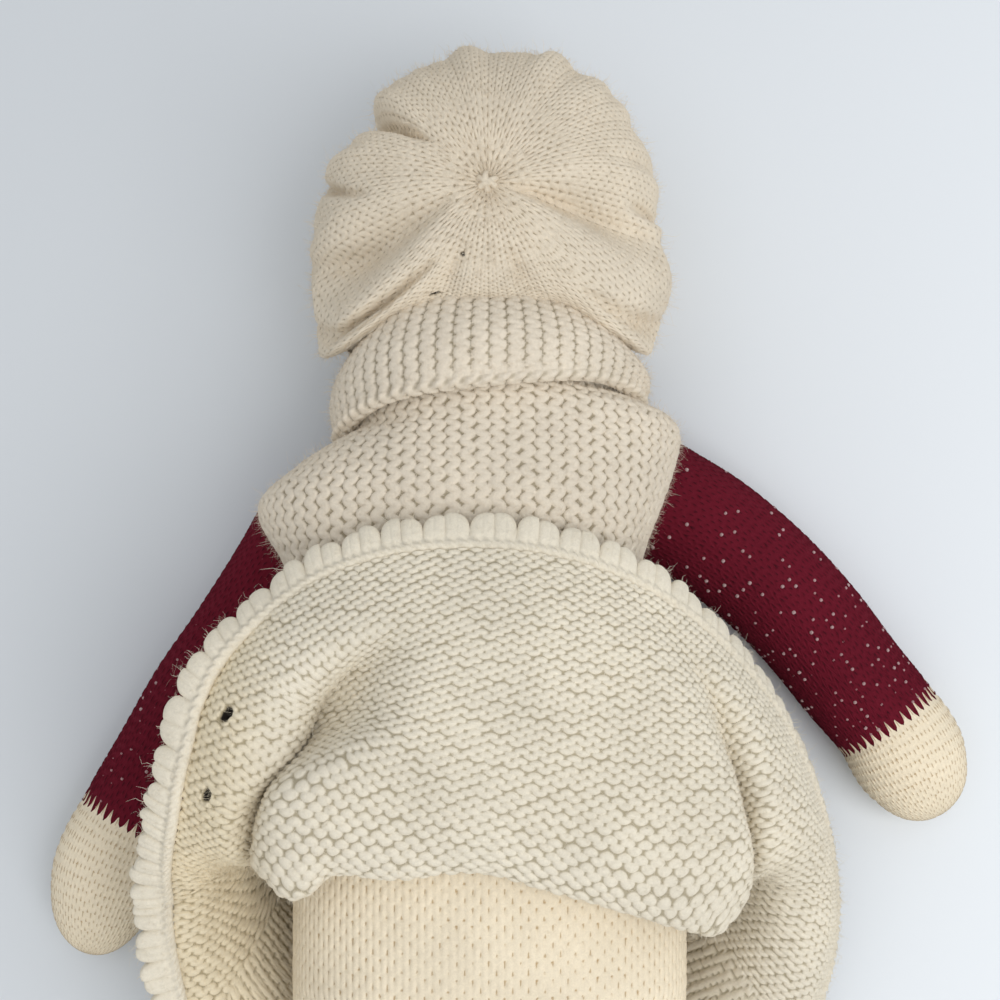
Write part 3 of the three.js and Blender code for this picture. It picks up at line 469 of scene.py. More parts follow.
def fuzz(name, points, closed, side, hairs, key, body, more_seed=0):
    """Loose fibres that stand off a piece of knitting, each a thin bent ribbon."""
    count, length, seed = FUZZ[hairs]
    length = length * bpy.context.scene.prairie_doll_yarns.fuzz_length
    luck = np.random.default_rng(seed + more_seed)
    i = luck.integers(1, points.shape[0] - 1, count)
    j = luck.integers(1, points.shape[1] - 1, count)
    root, out = points[i, j], side * normals(points, closed)[i, j]
    stray = luck.normal(size=(3, count, 3))
    size = length * (0.35 + luck.random((count, 1)) ** 2)
    first = root + size * (0.45 * out + 0.3 * stray[0])
    second = first + size * (0.25 * out + 0.45 * stray[1])
    spine = np.stack([root - 0.2 * out, (root + first) / 2 + 0.1 * size * stray[2], first, second])
    across = unit(np.cross(spine[3] - spine[0], out + 0.3 * stray[2]))
    width = np.array([0.05, 0.045, 0.035, 0.015])[:, None, None]
    ribbons = np.stack([spine - width * across, spine + width * across], 2).reshape(4, -1, 3)
    knit(name, [(ribbons, False, False, 1.0)], key, body, stride=2)


def lengths(points, axis):
    """Distance run along a grid's rows (axis 1) or across them (axis 0), from its first line."""
    steps = np.linalg.norm(np.diff(points, axis=axis), axis=2)
    zero = np.zeros_like(np.take(steps, [0], axis))
    return np.concatenate([zero, np.cumsum(steps, axis=axis)], axis=axis)


def angles(columns):
    return np.arange(columns) * TURN / columns


def mesh_grid(columns, rows, first, last):
    """Angles round a closed tube and places along it."""
    return np.meshgrid(angles(columns), np.linspace(first, last, rows))


# Body
def body_section(y):
    ys = [TAPER_Y, *(mix(WAIST_Y, TAPER_Y, share) for share in (0.68, 0.31)), WAIST_Y,
          *(mix(NECK_SEAM_Y, WAIST_Y, share) for share in (0.72, 0.43, 0.19, 0.06)), NECK_SEAM_Y]
    halves = [HIP_HALF, HIP_HALF, 54, WAIST_HALF, 44, 41, 38, 27, NECK_RADIUS + 0.5]
    rises = [HIP_RISE, 38.2, 38, 37, 37.5, 37, 33, 26, NECK_RADIUS]
    half, rise = through(ys, halves, y), through(ys, rises, y)
    t = np.clip((TAPER_Y - y) / (TAPER_Y - HIP_SEAM_Y), 0, 1)
    half = np.where(y < TAPER_Y, mix(HIP_HALF, HIP_SEAM_HALF[0], t), half)
    rise = np.where(y < TAPER_Y, mix(HIP_RISE, HIP_SEAM_HALF[1], t ** 1.15), rise)
    centre = mix(BODY_AXIS_Z, NECK_AXIS_Z, smooth((y - WAIST_Y) / (NECK_SEAM_Y - WAIST_Y)))
    return half, rise, centre


def body_surface(angle, y):
    half, rise, centre = body_section(y)
    return np.stack([half * np.sin(angle), y, centre + rise * np.cos(angle)], -1)


# Skirt
def skirt_surface(angle, v):
    s, c = np.sin(angle), np.cos(angle)
    points = []
    for place, half, ys, zs, fall_z, fall_y, square, shift in SKIRT_STATIONS:
        spread = lambda fall, b, side, f, late=1: (
            side + (b - side) * np.maximum(c, 0) ** fall + (f - side) * np.maximum(-c, 0) ** (fall * late))
        late = mix(1, ROLL_RUNS_ON, smooth((place - 0.3) / 0.2))
        x = np.sign(s) * np.abs(s) ** square * half
        x = x + shift * np.maximum(c, 0) + 1.7 * smooth(place * 2 - 0.8)
        over_arm = np.where(s < 0, ARM_LIFT * s * s * smooth(place * 1.4 - 0.4), 0)
        points.append((x, spread(fall_y, *ys), spread(fall_z, *zs, late) + over_arm))
    keys = [station[0] for station in SKIRT_STATIONS]
    x, y, z = (through(keys, [p[axis] for p in points], v) for axis in range(3))
    near_fold = np.exp(-((v - FOLD_AT) / 0.13) ** 2) * np.clip(c + 0.4, 0, 1)
    y = y + near_fold * follow(FOLD_SAG, x)
    turned = np.abs(np.arctan2(s, c))
    for side, table in CREASES.items():
        keys, turns, depths = zip(*table)
        away = turned - np.radians(through(keys, turns, v))
        turning = smooth((v - 0.58) / 0.12) if side < 0 else 0 * v
        width = np.where(away < 0, mix(CREASE_STEEP, CREASE_EASY, turning), CREASE_STEEP)
        deep = np.maximum(through(keys, depths, v), 0) * (np.sign(s) == side)
        deep = deep * smooth(turned / 0.35)
        z = z - deep * np.exp(-(away / width) ** 2)
        panel_lip = 0.2 * np.exp(-((away + 0.13) / 0.09) ** 2)
        roll_lip = -0.34 * np.exp(-((away - 0.12) / 0.1) ** 2)
        x = x + side * deep * mix(panel_lip, roll_lip, turning)
    return np.stack([x, y, z], -1)


def hem_border():
    """The ribbed border: one closed section carried round the hem, with a chain along its inner side."""
    around, section = 2880, 40
    angle, turn = np.meshgrid(angles(around), np.linspace(0, TURN, section, endpoint=False))
    start = by_angle(BORDER_LINE, angle)
    fingers = np.abs(np.sin(SCALLOPS * angle))
    number = np.floor(angle * SCALLOPS / TURN + 0.5) % SCALLOPS
    luck = scatter(number, number * 0, 31) - 0.5
    lobe = np.sqrt(np.clip(1 - np.abs(2 * ((angle * SCALLOPS / TURN) % 1) - 1) ** 2.6, 0, 1))
    reach = BORDER_WIDTH - 0.8 + lobe * (3.6 + 2.2 * luck) - 0.7 * (1 - fingers ** 0.5)
    from_edge = (0.5 - 0.5 * np.cos(turn)) * reach
    chain = np.exp(-((from_edge - 1.4) / 1.0) ** 2)
    braid = 0.6 + 0.4 * np.cos(SCALLOPS * 4 * angle + from_edge * 2.2)
    on_rib = smooth((from_edge - 2.8) / 1.2)
    line = np.abs(np.sin(2 * SCALLOPS * angle)) ** 0.4
    rib = 0.4 + 0.45 * fingers ** 0.5 + 0.15 * line
    thickness = mix(1.5, 0.8 + 1.5 * rib * (0.45 + 0.55 * lobe), on_rib) + chain * 1.8 * braid
    inner = skirt_surface(angle, start)
    outward = skirt_surface(angle, start + 0.03) - inner
    riding_up = smooth((BORDER_AT - start) / 0.05)
    outward[..., 2] *= mix(1, 0.3, riding_up)
    rim = unit(np.roll(inner, -1, 1) - np.roll(inner, 1, 1))
    outward = unit(outward)
    outward = unit(outward - 0.85 * rim * (outward * rim).sum(axis=2, keepdims=True))
    strip = np.stack([inner[0] + outward[0] * step for step in (-1, 0, 1)])
    normal = normals(strip, True)[1]
    inner = inner + normal[None] * (2.2 * riding_up)[..., None]
    up = np.sin(turn)
    rounding = np.sign(up) * np.abs(up) ** 0.5
    points = inner + outward * from_edge[..., None] + normal[None] * (rounding * thickness)[..., None]
    points = np.concatenate([points, points[:1]])
    depth = np.where(up >= 0, mix(0.45 + 0.4 * braid, rib, on_rib), 0.8)
    return points, True, False, np.concatenate([depth, depth[:1]])


# Bonnet: plan radius and height of its widest line, about a point on the table, for each angle
# from the crown of the head, clockwise
BONNET_MIDDLE = (0, 83)
GATHER_POINT = (-0.6, 77)
BONNET_TOP_Z = 93.5
BONNET_FLOOR_Z = 18
BONNET_OUTLINE = (
    (-180, 38.5), (-158, 41.7), (-147, 49), (-139, 60.5), (-133, 68.5), (-128, 67), (-118, 61.7),
    (-106, 58.4), (-95, 55), (-86, 51.8), (-79, 52.8), (-68, 49.5), (-61, 46.5), (-55, 44),
    (-48, 46.5), (-41, 49), (-32, 49.8), (-18, 48.7), (-9, 51.7), (3, 48.6), (14, 50.8), (25, 53.7),
    (33, 51), (42, 53.2), (54, 53.4), (60, 51.7), (79, 53.2), (90, 52), (101, 56), (105, 56.5),
    (113, 60.7), (121, 62.5), (128, 64.5), (135, 65.5), (141, 58), (151, 44.4), (165, 39.8), (180, 38.5),
)
BONNET_EDGE_Z = (
    (-180, 84), (-158, 81), (-145, 72), (-137, 60), (-131, 50), (-118, 46), (0, 46), (118, 46),
    (128, 52), (136, 60), (145, 73), (158, 82), (180, 84),
)
# Small gaps in the crown, painted dark as shadow: angle, place and size
BONNET_HOLES = ((-163, 0.4, 0.9), (-157, 0.755, 1.0))
# Gathers and hollows: angle, depth, half width in degrees, where they start and end, and lean
BONNET_CREASES = (
    (-58, 9, 3.2, 0.24, 1.25, 0), (-48, -3, 6, 0.3, 1.1, 0), (-80, 5, 2, 0.38, 1.2, 28),
    (-108, 4, 4, 0.4, 1.1, 21), (-121, 10, 11, 0.08, 0.9, 0), (-125.5, 7, 4, 0.38, 1.12, 38),
    (-137, -3, 3.5, 0.7, 1.15, 10), (106, 10, 11, 0.04, 0.8, 0), (95.5, 5.5, 2.8, 0.55, 1.2, 0),
    (102, 6, 2.8, 0.75, 1.3, 0), (127, 7, 4, 0.48, 1.12, -22), (137, -3, 3.5, 0.75, 1.2, -10),
    (62, 2.2, 3.5, 0.7, 1.2, 0), (34, 2.6, 3.5, 0.75, 1.2, 0), (3, 2, 4, 0.7, 1.2, 0),
    (-18, 2, 4, 0.7, 1.2, 0), (-68, 2, 4, 0.5, 1.15, 6), (78, 2, 4, 0.4, 1.1, 0),
    (-100, 2, 3, 0.6, 1.1, 0), (48, 1.6, 3, 0.6, 1.1, 0), (20, 1.6, 3, 0.5, 1.1, 5),
    (-33, 1.8, 3, 0.6, 1.1, 0), (-160, 2.5, 6, 0.3, 0.9, 0), (163, 2.5, 6, 0.3, 0.9, 0),
)


def bonnet_surface(angle, t):
    """t is 0 at the gathered point, 1 at the widest line and 2 at the edge round the face."""
    radius = by_angle(BONNET_OUTLINE, angle)
    edge_z = by_angle(BONNET_EDGE_Z, angle)
    up = np.clip(t, 0, 1)
    down = np.clip(t - 1, 0, 1)
    turned = from_back(angle)
    nape = smooth((np.abs(turned) - 118) / 14)
    spread = np.sin(up * math.pi / 2) ** 0.9
    tuck = mix(0.1 * radius, mix(3, 14, smooth(down)), nape) * np.sin(down * math.pi / 2) ** 1.5
    reach = radius * spread - tuck
    centre_x = mix(GATHER_POINT[0], BONNET_MIDDLE[0], up)
    centre_y = mix(GATHER_POINT[1], BONNET_MIDDLE[1], up)
    dome = np.sqrt(np.clip(1 - spread ** 2.7, 0, 1))
    z = mix(edge_z, BONNET_TOP_Z, dome) - 4 * np.exp(-(reach / 11) ** 2)
    z = mix(z, mix(BONNET_FLOOR_Z, edge_z - 16, nape), down)
    inward = np.zeros_like(z)
    for place, depth, width, start, end, lean in BONNET_CREASES:
        run = np.clip((t - start) / (end - start), 0, 1)
        near = np.exp(-((turned - place - lean * (t - 1)) / width) ** 2)
        inward = inward + depth * np.sin(math.pi * run) * near
    ripple = 1 + 0.4 * np.cos(19 * angle + 1.3) + 0.4 * np.cos(27 * angle + 0.4) + 0.2 * np.cos(41 * angle)
    inward = inward + 0.6 * ripple * smooth(t * 1.6 - 0.3) * (1 - nape) * smooth(2 - t)
    leaning = np.where(t < 1, np.sqrt(np.clip(spread, 0, 1)), 1)
    reach = reach - inward * leaning * 0.75
    z = z - inward * np.sqrt(np.clip(1 - leaning ** 2, 0, 1)) - inward * 0.45 * smooth((1.02 - t) / 0.1)
    x = centre_x + reach * np.sin(angle)
    y = centre_y + reach * np.cos(angle)
    return np.stack([x, y, z], -1)


# Collar: outer skin of the turned-down band, t 0 under the bonnet and 1 at its chained edge
def collar_surface(angle, t, inset=0.0):
    edge = by_angle(((-180, 24), (-90, 13), (-40, 19), (0, 21.8), (45, 25.5), (90, 23.5), (180, 24)), angle)
    top = COLLAR_TOP_Y - 9 * smooth(np.abs(np.sin(angle)) ** 3)
    flare = 2.2 * np.sin(math.pi * t) - 4.5 * (1 - t) ** 2 - inset
    x = (COLLAR_HALF[0] + flare) * np.sin(angle)
    z = COLLAR_HALF[1] - PRESSED + (COLLAR_HALF[1] + flare) * np.cos(angle)
    return np.stack([x, mix(top, edge, t), np.maximum(z, 0.2)], -1)


def collar_grid():
    """The collar's whole section: its outside, a round edge with a chain of stitches, and its inside."""
    angle, u = np.meshgrid(angles(WALES["collar"] * 8), np.concatenate([
        np.linspace(0, 1, 64), np.linspace(1.02, 2, 22), np.linspace(2.1, 3, 10)]))
    t = np.where(u < 1, u, np.where(u > 2, 3 - u * 0.98, 1.0))
    round_edge = np.clip(u - 1, 0, 1) * math.pi
    bead = COLLAR_WALL / 2
    base = collar_surface(angle, t, bead * (1 - np.cos(round_edge)))
    base[..., 1] -= bead * np.sin(round_edge)
    garter = garter_stitch(wales(angle, "collar"), courses(base, "collar"), 7, 0.27, 0.24, 0.6)
    on_chain = np.exp(-((u - 1.12) / 0.16) ** 2)
    braid = 0.55 + 0.45 * np.cos(angle * 64 + (u - 1) * 5)
    height = np.where(u > 2.05, 0.7, mix(garter, braid, on_chain))
    points = raised(base, (height - 0.8) * mix(1.0, 1.6, on_chain) + on_chain * 0.9, True, -1)
    return points, True, True, height


# Shawl: half widths down its left and its right, and a skin that wraps the shoulders
SHAWL_SIDES = {
    -1: ((-44, 58), (-29, 60), (-9.5, 69), (3, 57), (10, 46), (13, 41), (29, 40.5)),
    1: ((-44, 44), (-26, 45), (-3, 53.5), (11, 57.3), (17, 55), (21, 47), (23.5, 41), (29, 40.5)),
}


def shawl_surface(angle, t, inset=0.0):
    s, c = np.sin(angle), np.cos(angle)
    y = mix(SHAWL_TOP_Y, SHAWL_LOW_Y, t)
    half_x = np.where(s < 0, follow(SHAWL_SIDES[-1], y), follow(SHAWL_SIDES[1], y)) - inset
    middle = mix(45.5, SHAWL_EDGE_Z, smooth(t * 2))
    top = mix(84.5, SHAWL_TOP_Z, smooth(t * 2.2)) - inset
    square = mix(1.0, 0.82, smooth(t * 1.6))
    x = np.sign(s) * np.abs(s) ** square * half_x
    z = middle + np.sign(c) * np.abs(c) ** square * (top - middle)
    return np.stack([x, y, z], -1)


# Arms
def arm_axis(name):
    """Length of the arm's middle line, and its places and directions along it."""
    line = np.array(ARMS[name][0], float)
    chord = np.concatenate([[0], np.cumsum(np.linalg.norm(np.diff(line, axis=0), axis=1))])
    steps = np.linspace(0, chord[-1], 300)
    fine = np.stack([through(chord, line[:, axis], steps) for axis in (0, 1)], -1)
    run = np.concatenate([[0], np.cumsum(np.linalg.norm(np.diff(fine, axis=0), axis=1))])
    return run, fine, unit(np.gradient(fine, axis=0))


def arm_surface(name, angle, along, grow=0.0):
    """along runs from -1 at the top of the shoulder, over 0 at its pivot and 1 at the cuff, to 2 at
    the fingertips."""
    run, fine, heading = arm_axis(name)
    hand = ARMS[name][1]
    sleeve = run[-1] - hand
    s = np.where(along <= 1, np.clip(along, 0, 1) * sleeve, sleeve + (along - 1) * hand)
    place = [np.interp(s, run, fine[:, axis]) for axis in (0, 1)]
    toward = [np.interp(s, run, heading[:, axis]) for axis in (0, 1)]
    t = np.clip(along, 0, 1)
    half, rise = mix(SHOULDER_HALF, CUFF_HALF, t), mix(ARM_HALF_HEIGHT, ARM_HALF_HEIGHT - 2, t)
    middle = rise - PRESSED
    f = np.clip(-along, 0, 1)
    slim = np.sqrt(np.clip(1 - f * f, 0, 1))
    place = [p - d * f * (SHOULDER_HALF + grow) for p, d in zip(place, toward)]
    u = np.clip(along - 1, 0, 1)
    end = np.sqrt(np.clip(1 - np.clip((u - 0.35) / 0.65, 0, 1) ** 2.4, 0, 1))
    swell = 1 + 0.06 * np.sin(math.pi * np.clip(u * 1.6, 0, 1))
    half = np.where(u > 0, mix(CUFF_HALF, HAND_HALF, smooth(u)) * swell, half)
    rise = np.where(u > 0, ARM_HALF_HEIGHT - 2 - 1.5 * u, rise)
    middle = np.where(u > 0, mix(ARM_HALF_HEIGHT - 2 - PRESSED, 11, u * u), middle)
    half, rise = (half * end + grow) * slim, (rise * end + grow) * slim
    across = np.maximum(half, 0.05) * np.cos(angle)
    x = place[0] + toward[1] * across
    y = place[1] - toward[0] * across
    z = middle + np.maximum(rise, 0.05) * np.sin(angle)
    return np.stack([x, y, np.maximum(z, 0.1)], -1)


def cuff_line(name, angle):
    """Where the colour changes: in teeth of uneven length, one to a wale."""
    w = wales(angle, "sleeve")
    tooth = 0.5 + 0.7 * scatter(np.floor(w) % WALES["sleeve"], 1, 43)
    return 1 + tooth * CUFF_TEETH / ARMS[name][1] * (1 - 4 * np.abs(w % 1 - 0.5))


# Legs and shoes
def leg_surface(side, angle, y):
    top = HIP_SEAM_Y - 0.6
    t = np.clip((top - y) / (top - ANKLE_Y), 0, 1)
    width = mix(LEG_HALF * (1 + 0.03 * np.sin(math.pi * t)), ANKLE_HALF, smooth(t))
    open_ = np.sin(math.pi / 2 * np.clip((top - y) / LEG_SEAM, 0, 1)) ** 1.1
    rise = mix(HIP_SEAM_HALF[1], width, open_)
    middle = mix(HIP_Z, ANKLE_Z, smooth(t))
    return np.stack([side * LEG_X + width * np.sin(angle), y, middle + rise * np.cos(angle)], -1)


def shoe_surface(side, angle, t):
    y = mix(ANKLE_Y, SOLE_Y, t)
    open_ = smooth(t / 0.45)
    bottom = mix(ANKLE_Z - ANKLE_HALF, -PRESSED, open_)
    top = mix(ANKLE_Z + ANKLE_HALF, ANKLE_Z + SHOE_HEEL, open_)
    end = np.sqrt(np.clip(1 - np.clip((t - 0.6) / 0.4, 0, 1) ** 2.5, 0, 1))
    half = mix(ANKLE_HALF, SHOE_HALF, open_) * mix(1, end, 0.75)
    rise = (top - bottom) / 2 * mix(1, end, 0.75)
    z = (bottom + top) / 2 + rise * np.cos(angle)
    return np.stack([side * LEG_X + half * np.sin(angle), y, np.maximum(z, 0.1)], -1)


def stuffing_grids(name, seed):
    """The arm's fibrefill: a core inside the knitting, and the tufts that show between stitches."""
    angle, along = mesh_grid(40, 60, -0.95, 1.95)
    grids = [(arm_surface(name, angle, along, -3.4), True, False, 1.0)]
    columns, rows = np.meshgrid(np.arange(WALES["sleeve"]), np.arange(1, STUFFING_COURSES))
    along = rows / STUFFING_COURSES
    keep = scatter(columns, rows, 40 + seed) > mix(0.97, 0.55, along ** 1.3)
    for column, place in zip(columns[keep], along[keep]):
        angle = np.array(column * TURN / WALES["sleeve"])
        luck = float(scatter(column, place * STUFFING_COURSES, 41)) ** 3
        size = 0.25 + 0.45 * luck
        # Each tuft keeps only a little of its own white: the rest is painted shade, tinted by light off the
        # red yarn
        white = 0.02 + 0.16 * luck
        grids.append(ball(arm_surface(name, angle, np.array(place), -0.1), size, white))
    return grids


# Head: from the neck at t 0 to the crown at 1. Its face looks down.
def head_surface(angle, t):
    low, high = NECK_SEAM_Y + 0.3, HEAD_CENTRE[0] + HEAD_HALF[1]
    y = mix(low, high, np.sin(math.pi / 2 * t))
    f = (y - HEAD_CENTRE[0]) / HEAD_HALF[1]
    roundness = np.sqrt(np.clip(1 - f * f, 0, 1))
    fade = smooth((y - NECK_SEAM_Y) / (HEAD_CENTRE[0] - NECK_SEAM_Y))
    neck = np.where(y < HEAD_CENTRE[0], NECK_RADIUS * (1 - fade * 0.3), 0)
    half, rise = (((size * roundness) ** 6 + neck ** 6) ** (1 / 6) for size in (HEAD_HALF[0], HEAD_HALF[2]))
    nape = HEAD_CENTRE[0] - HEAD_HALF[1] * 0.9
    middle = mix(NECK_AXIS_Z, HEAD_CENTRE[1], smooth((y - nape) / (HEAD_CENTRE[0] - nape)))
    return np.stack([half * np.sin(angle), y, middle + rise * np.cos(angle)], -1)


def on_face(x, y, lift):
    """A place that far off the face, which looks down."""
    f = 1 - (x / HEAD_HALF[0]) ** 2 - ((y - HEAD_CENTRE[0]) / HEAD_HALF[1]) ** 2
    return x, y, HEAD_CENTRE[1] - HEAD_HALF[2] * math.sqrt(max(f, 0)) - lift


def brim_grid():
    """The garter-stitch brim round the face, open at the chin: its outside, round edge and inside."""
    angle, u = np.meshgrid(np.radians(np.linspace(-127, 127, 620)), np.linspace(0, 3, 90))
    bead = BRIM_WALL / 2
    low = bead + 0.3
    edge = np.clip(u - 1, 0, 1) * math.pi
    high = BONNET_FLOOR_Z - 0.4
    z = np.where(u < 1, mix(high, low, u), mix(low, high, np.clip(u - 2, 0, 1)))
    z = z - bead * np.sin(edge)
    end = np.sqrt(np.clip((127.5 - np.abs(np.degrees(angle))) / 3, 0, 1))
    reach = by_angle(BONNET_OUTLINE, angle) * 0.9 - bead + bead * np.cos(edge) * end
    base = np.stack([reach * np.sin(angle), BONNET_MIDDLE[1] + reach * np.cos(angle), z], -1)
    height = garter_stitch(wales(angle, "brim"), lengths(base, 0) / COURSE["brim"], 9)
    return raised(base, (height - 0.8) * 0.9, False), False, False, height


def add_node(tree, kind, inputs=None, **settings):
    """Adds a shader node with its settings. An input is a value, or the socket that it links from."""
    made = tree.nodes.new("ShaderNode" + kind)
    for key, value in settings.items():
        setattr(made, key, value)
    for key, value in (inputs or {}).items():
        if isinstance(value, bpy.types.NodeSocket):
            tree.links.new(value, made.inputs[key])
        else:
            made.inputs[key].default_value = value
    return made


def rgba(colour):
    return (*colour[:3], 1.0)


def fresh_nodes(owner):
    owner.use_nodes = True
    owner.node_tree.nodes.clear()
    return owner.node_tree


def ranged(tree, value, low, high, to_low=0.0, to_high=1.0, curve="LINEAR"):
    """A value's place between two others, as a place between two more."""
    return add_node(tree, "MapRange", {
        "Value": value, "From Min": low, "From Max": high, "To Min": to_low, "To Max": to_high,
    }, interpolation_type=curve).outputs["Result"]


def blend(tree, factor, first, second, kind="MIX"):
    return add_node(tree, "Mix", {"Factor": factor, "A": first, "B": second}, data_type="RGBA",
                    blend_type=kind).outputs["Result"]


def noise(tree, place, clumps_per_mm, detail, roughness, distortion=0.0):
    return add_node(tree, "TexNoise", {
        "Vector": place, "Scale": clumps_per_mm / MM, "Detail": detail, "Roughness": roughness,
        "Distortion": distortion}).outputs["Fac"]


def knitted_acrylic(name, colour, painted_crevice_shade, sheen, side):
    """Hand-knitted acrylic yarn: matt and fuzzy, with painted shade that makes it a little darker and
    warmer between the stitches.
    A side colour tints it towards the doll's left."""
    material = bpy.data.materials.new(name)
    tree = fresh_nodes(material)
    place = add_node(tree, "TexCoord").outputs["Object"]
    fibres = noise(tree, place, CLUMPS_PER_MM, 5.0, 0.7, 1.2)
    patches = noise(tree, place, PATCHES_PER_MM, 2.0, 0.5)
    depth = add_node(tree, "Attribute", attribute_name="stitch_height").outputs["Fac"]
    # Painted shade: where the stitches sink, the colour mixes towards the darker colour between them
    base = blend(tree, ranged(tree, depth, 0.0, 0.45), rgba(painted_crevice_shade), rgba(colour))
    if side:
        apart = add_node(tree, "SeparateXYZ", {"Vector": place}).outputs["X"]
        out = add_node(tree, "Math", {0: ROW_SHIFT[0] * MM, 1: apart}, operation="SUBTRACT")
        at_side = ranged(tree, out.outputs["Value"], 0.05, 0.075, curve="SMOOTHSTEP")
        base = blend(tree, at_side, base, rgba(side), "MULTIPLY")
    # Below the stitches' own depth the colour is painted near-black shadow, as in a dropped stitch
    painted_hole_shadow = ranged(tree, depth, -0.6, -0.1, 1.0, 0.0)
    base = blend(tree, painted_hole_shadow, base, rgba(linear("120907")))
    shade = add_node(tree, "Math", {
        0: ranged(tree, patches, 0.35, 0.65, 0.94, 1.03), 1: ranged(tree, fibres, 0.3, 0.7, 0.9, 1.06),
    }, operation="MULTIPLY")
    tinted = add_node(tree, "VectorMath", {"Vector": base, "Scale": shade.outputs["Value"]},
                      operation="SCALE")
    relief = add_node(tree, "Bump", {"Height": fibres, "Strength": 0.5, "Distance": 0.6 * MM})
    skin = add_node(tree, "BsdfPrincipled", {
        "Base Color": tinted.outputs["Vector"], "Normal": relief.outputs["Normal"], "Roughness": 0.92,
        "Specular IOR Level": 0.15, "Sheen Weight": sheen, "Sheen Roughness": 0.6,
        "Sheen Tint": rgba(colour)})
    add_node(tree, "OutputMaterial", {"Surface": skin.outputs["BSDF"]})
    return material


class PrairieDollYarns(bpy.types.PropertyGroup):
    """Colours of the yarns, and sizes round them"""
    bonnet: bpy.props.FloatVectorProperty(
        name="Bonnet", description="Beige acrylic of the bonnet", subtype="COLOR",
        default=linear("E8DBC6"))
    shawl: bpy.props.FloatVectorProperty(
        name="Shawl", description="Beige acrylic of the shawl", subtype="COLOR", default=linear("E6DAC7"))
    skirt: bpy.props.FloatVectorProperty(
        name="Skirt", description="Cream acrylic of the skirt", subtype="COLOR", default=linear("EAE1CE"))
    skin: bpy.props.FloatVectorProperty(
        name="Skin", description="Warm cream acrylic of the body", subtype="COLOR",
        default=linear("F2E4CA"))
    eyes: bpy.props.FloatVectorProperty(
        name="Eyes", description="Dark thread of the eyes", subtype="COLOR", default=linear("2A211E"))
    mouth: bpy.props.FloatVectorProperty(
        name="Mouth", description="Rose thread of the mouth", subtype="COLOR", default=linear("A8484A"))
    hair: bpy.props.FloatVectorProperty(
        name="Hair", description="Brown yarn of the fringe", subtype="COLOR", default=linear("6B4428"))
    dress: bpy.props.FloatVectorProperty(
        name="Dress", description="Burgundy acrylic", subtype="COLOR", default=linear("681526"))
    stuffing: bpy.props.FloatVectorProperty(
        name="Stuffing", description="White polyester fibrefill", subtype="COLOR", default=linear("F2F1EC"))
    fuzz_length: bpy.props.FloatProperty(
        name="Fuzz Length", description="Length of the loose fibres, as a share of the doll's own",
        subtype="FACTOR", min=0.1, max=3.0, default=1.0)
    table_width: bpy.props.FloatProperty(
        name="Table Width", description="Width of the table under the doll", unit="LENGTH", default=6.0)


# Each yarn's material, its painted shade colour between the stitches, its slot and its sheen
YARNS = {
    # Fine stocking stitch, close and even, with pinprick shadows between its small V's
    "bonnet": ("knitted_beige_acrylic", "B3A48C", "bonnet_yarn", 0.3),
    # Garter stitch: short slits of painted dark shade between thick soft strands
    "shawl": ("garter_knit_beige_acrylic", "A79B84", "shawl_yarn", 0.3),
    # Purl side: rows of pale bumps over hollows of painted grey shade
    "skirt": ("purl_knit_cream_acrylic", "B3A890", "skirt_yarn", 0.3),
    # Ribs and a chain: rounded fingers with painted soft grey shade between them
    "border": ("ribbed_cream_acrylic", "B0A68E", "skirt_yarn", 0.3),
    # Stocking stitch in a warmer cream, with painted amber shade between the stitches where light reaches in
    "skin": ("knitted_cream_acrylic", "BCA17A", "skin_yarn", 0.3),
    # Deep red yarn, with painted dark shade where it swallows the light between its stitches
    "dress": ("knitted_burgundy_acrylic", "3A0A16", "burgundy_yarn", 0.3),
    # Flat dark strands laid side by side
    "eyes": ("cotton_floss_satin_stitch", "120E0C", "eye_yarn", 0.3),
    # A line of short rose stitches
    "mouth": ("cotton_floss_back_stitch", "6A2426", "mouth_yarn", 0.3),
    # Brown plies that show as a slanting twist
    "hair": ("twisted_brown_acrylic", "33200F", "hair_yarn", 0.3),
    # Dull white tufts, with painted shade tinted by light off the red yarn round them
    "stuffing": ("polyester_fibrefill", "96434F", "stuffing", 0.08),
}
# Tint multiplied into the skirt's left side, which makes it a little darker and warmer than its middle
SKIRT_SIDE = "FFFAEE"


def yarn(key):
    """The material of one of the doll's yarns, made once."""
    yarns = bpy.context.scene.prairie_doll_yarns
    name, painted_crevice_shade, _, sheen = YARNS[key]
    colour = yarns.skirt if key == "border" else getattr(yarns, key)
    side = linear(SKIRT_SIDE) if key == "skirt" else None
    return bpy.data.materials.get(name) or knitted_acrylic(name, colour, linear(painted_crevice_shade), sheen, side)


def tube(surface, kind, cells, first, last, rows, relief, seed, side=1):
    """A knitted tube: its raised grid, and how high each point stands in the stitches. Its first and
    last places may change with the angle."""
    angle, share = mesh_grid(WALES[kind] * cells, rows, 0, 1)
    base = surface(angle, mix(first(angle), last(angle), share))
    height = stocking_stitch(wales(angle, kind), side * courses(base, kind), seed)
    return raised(base, (height - LEVEL) * relief, True, side), height


def capped(points, height, dome):
    """A tube's grid with its last row drawn together at the middle."""
    last, middle = points[-1], points[-1].mean(axis=0)
    heading = unit(middle - points[-8].mean(axis=0))
    shares = (0.3, 0.6, 0.85, 1)
    rows = [mix(last, middle, share) + heading * dome * math.sin(share * math.pi / 2) for share in shares]
    return np.concatenate([points, rows]), np.concatenate([height, np.repeat(height[-1:], len(shares), 0)])


def level(place):
    """The same place at every angle, as where a tube starts or ends."""
    return lambda angle: np.full_like(angle, place)


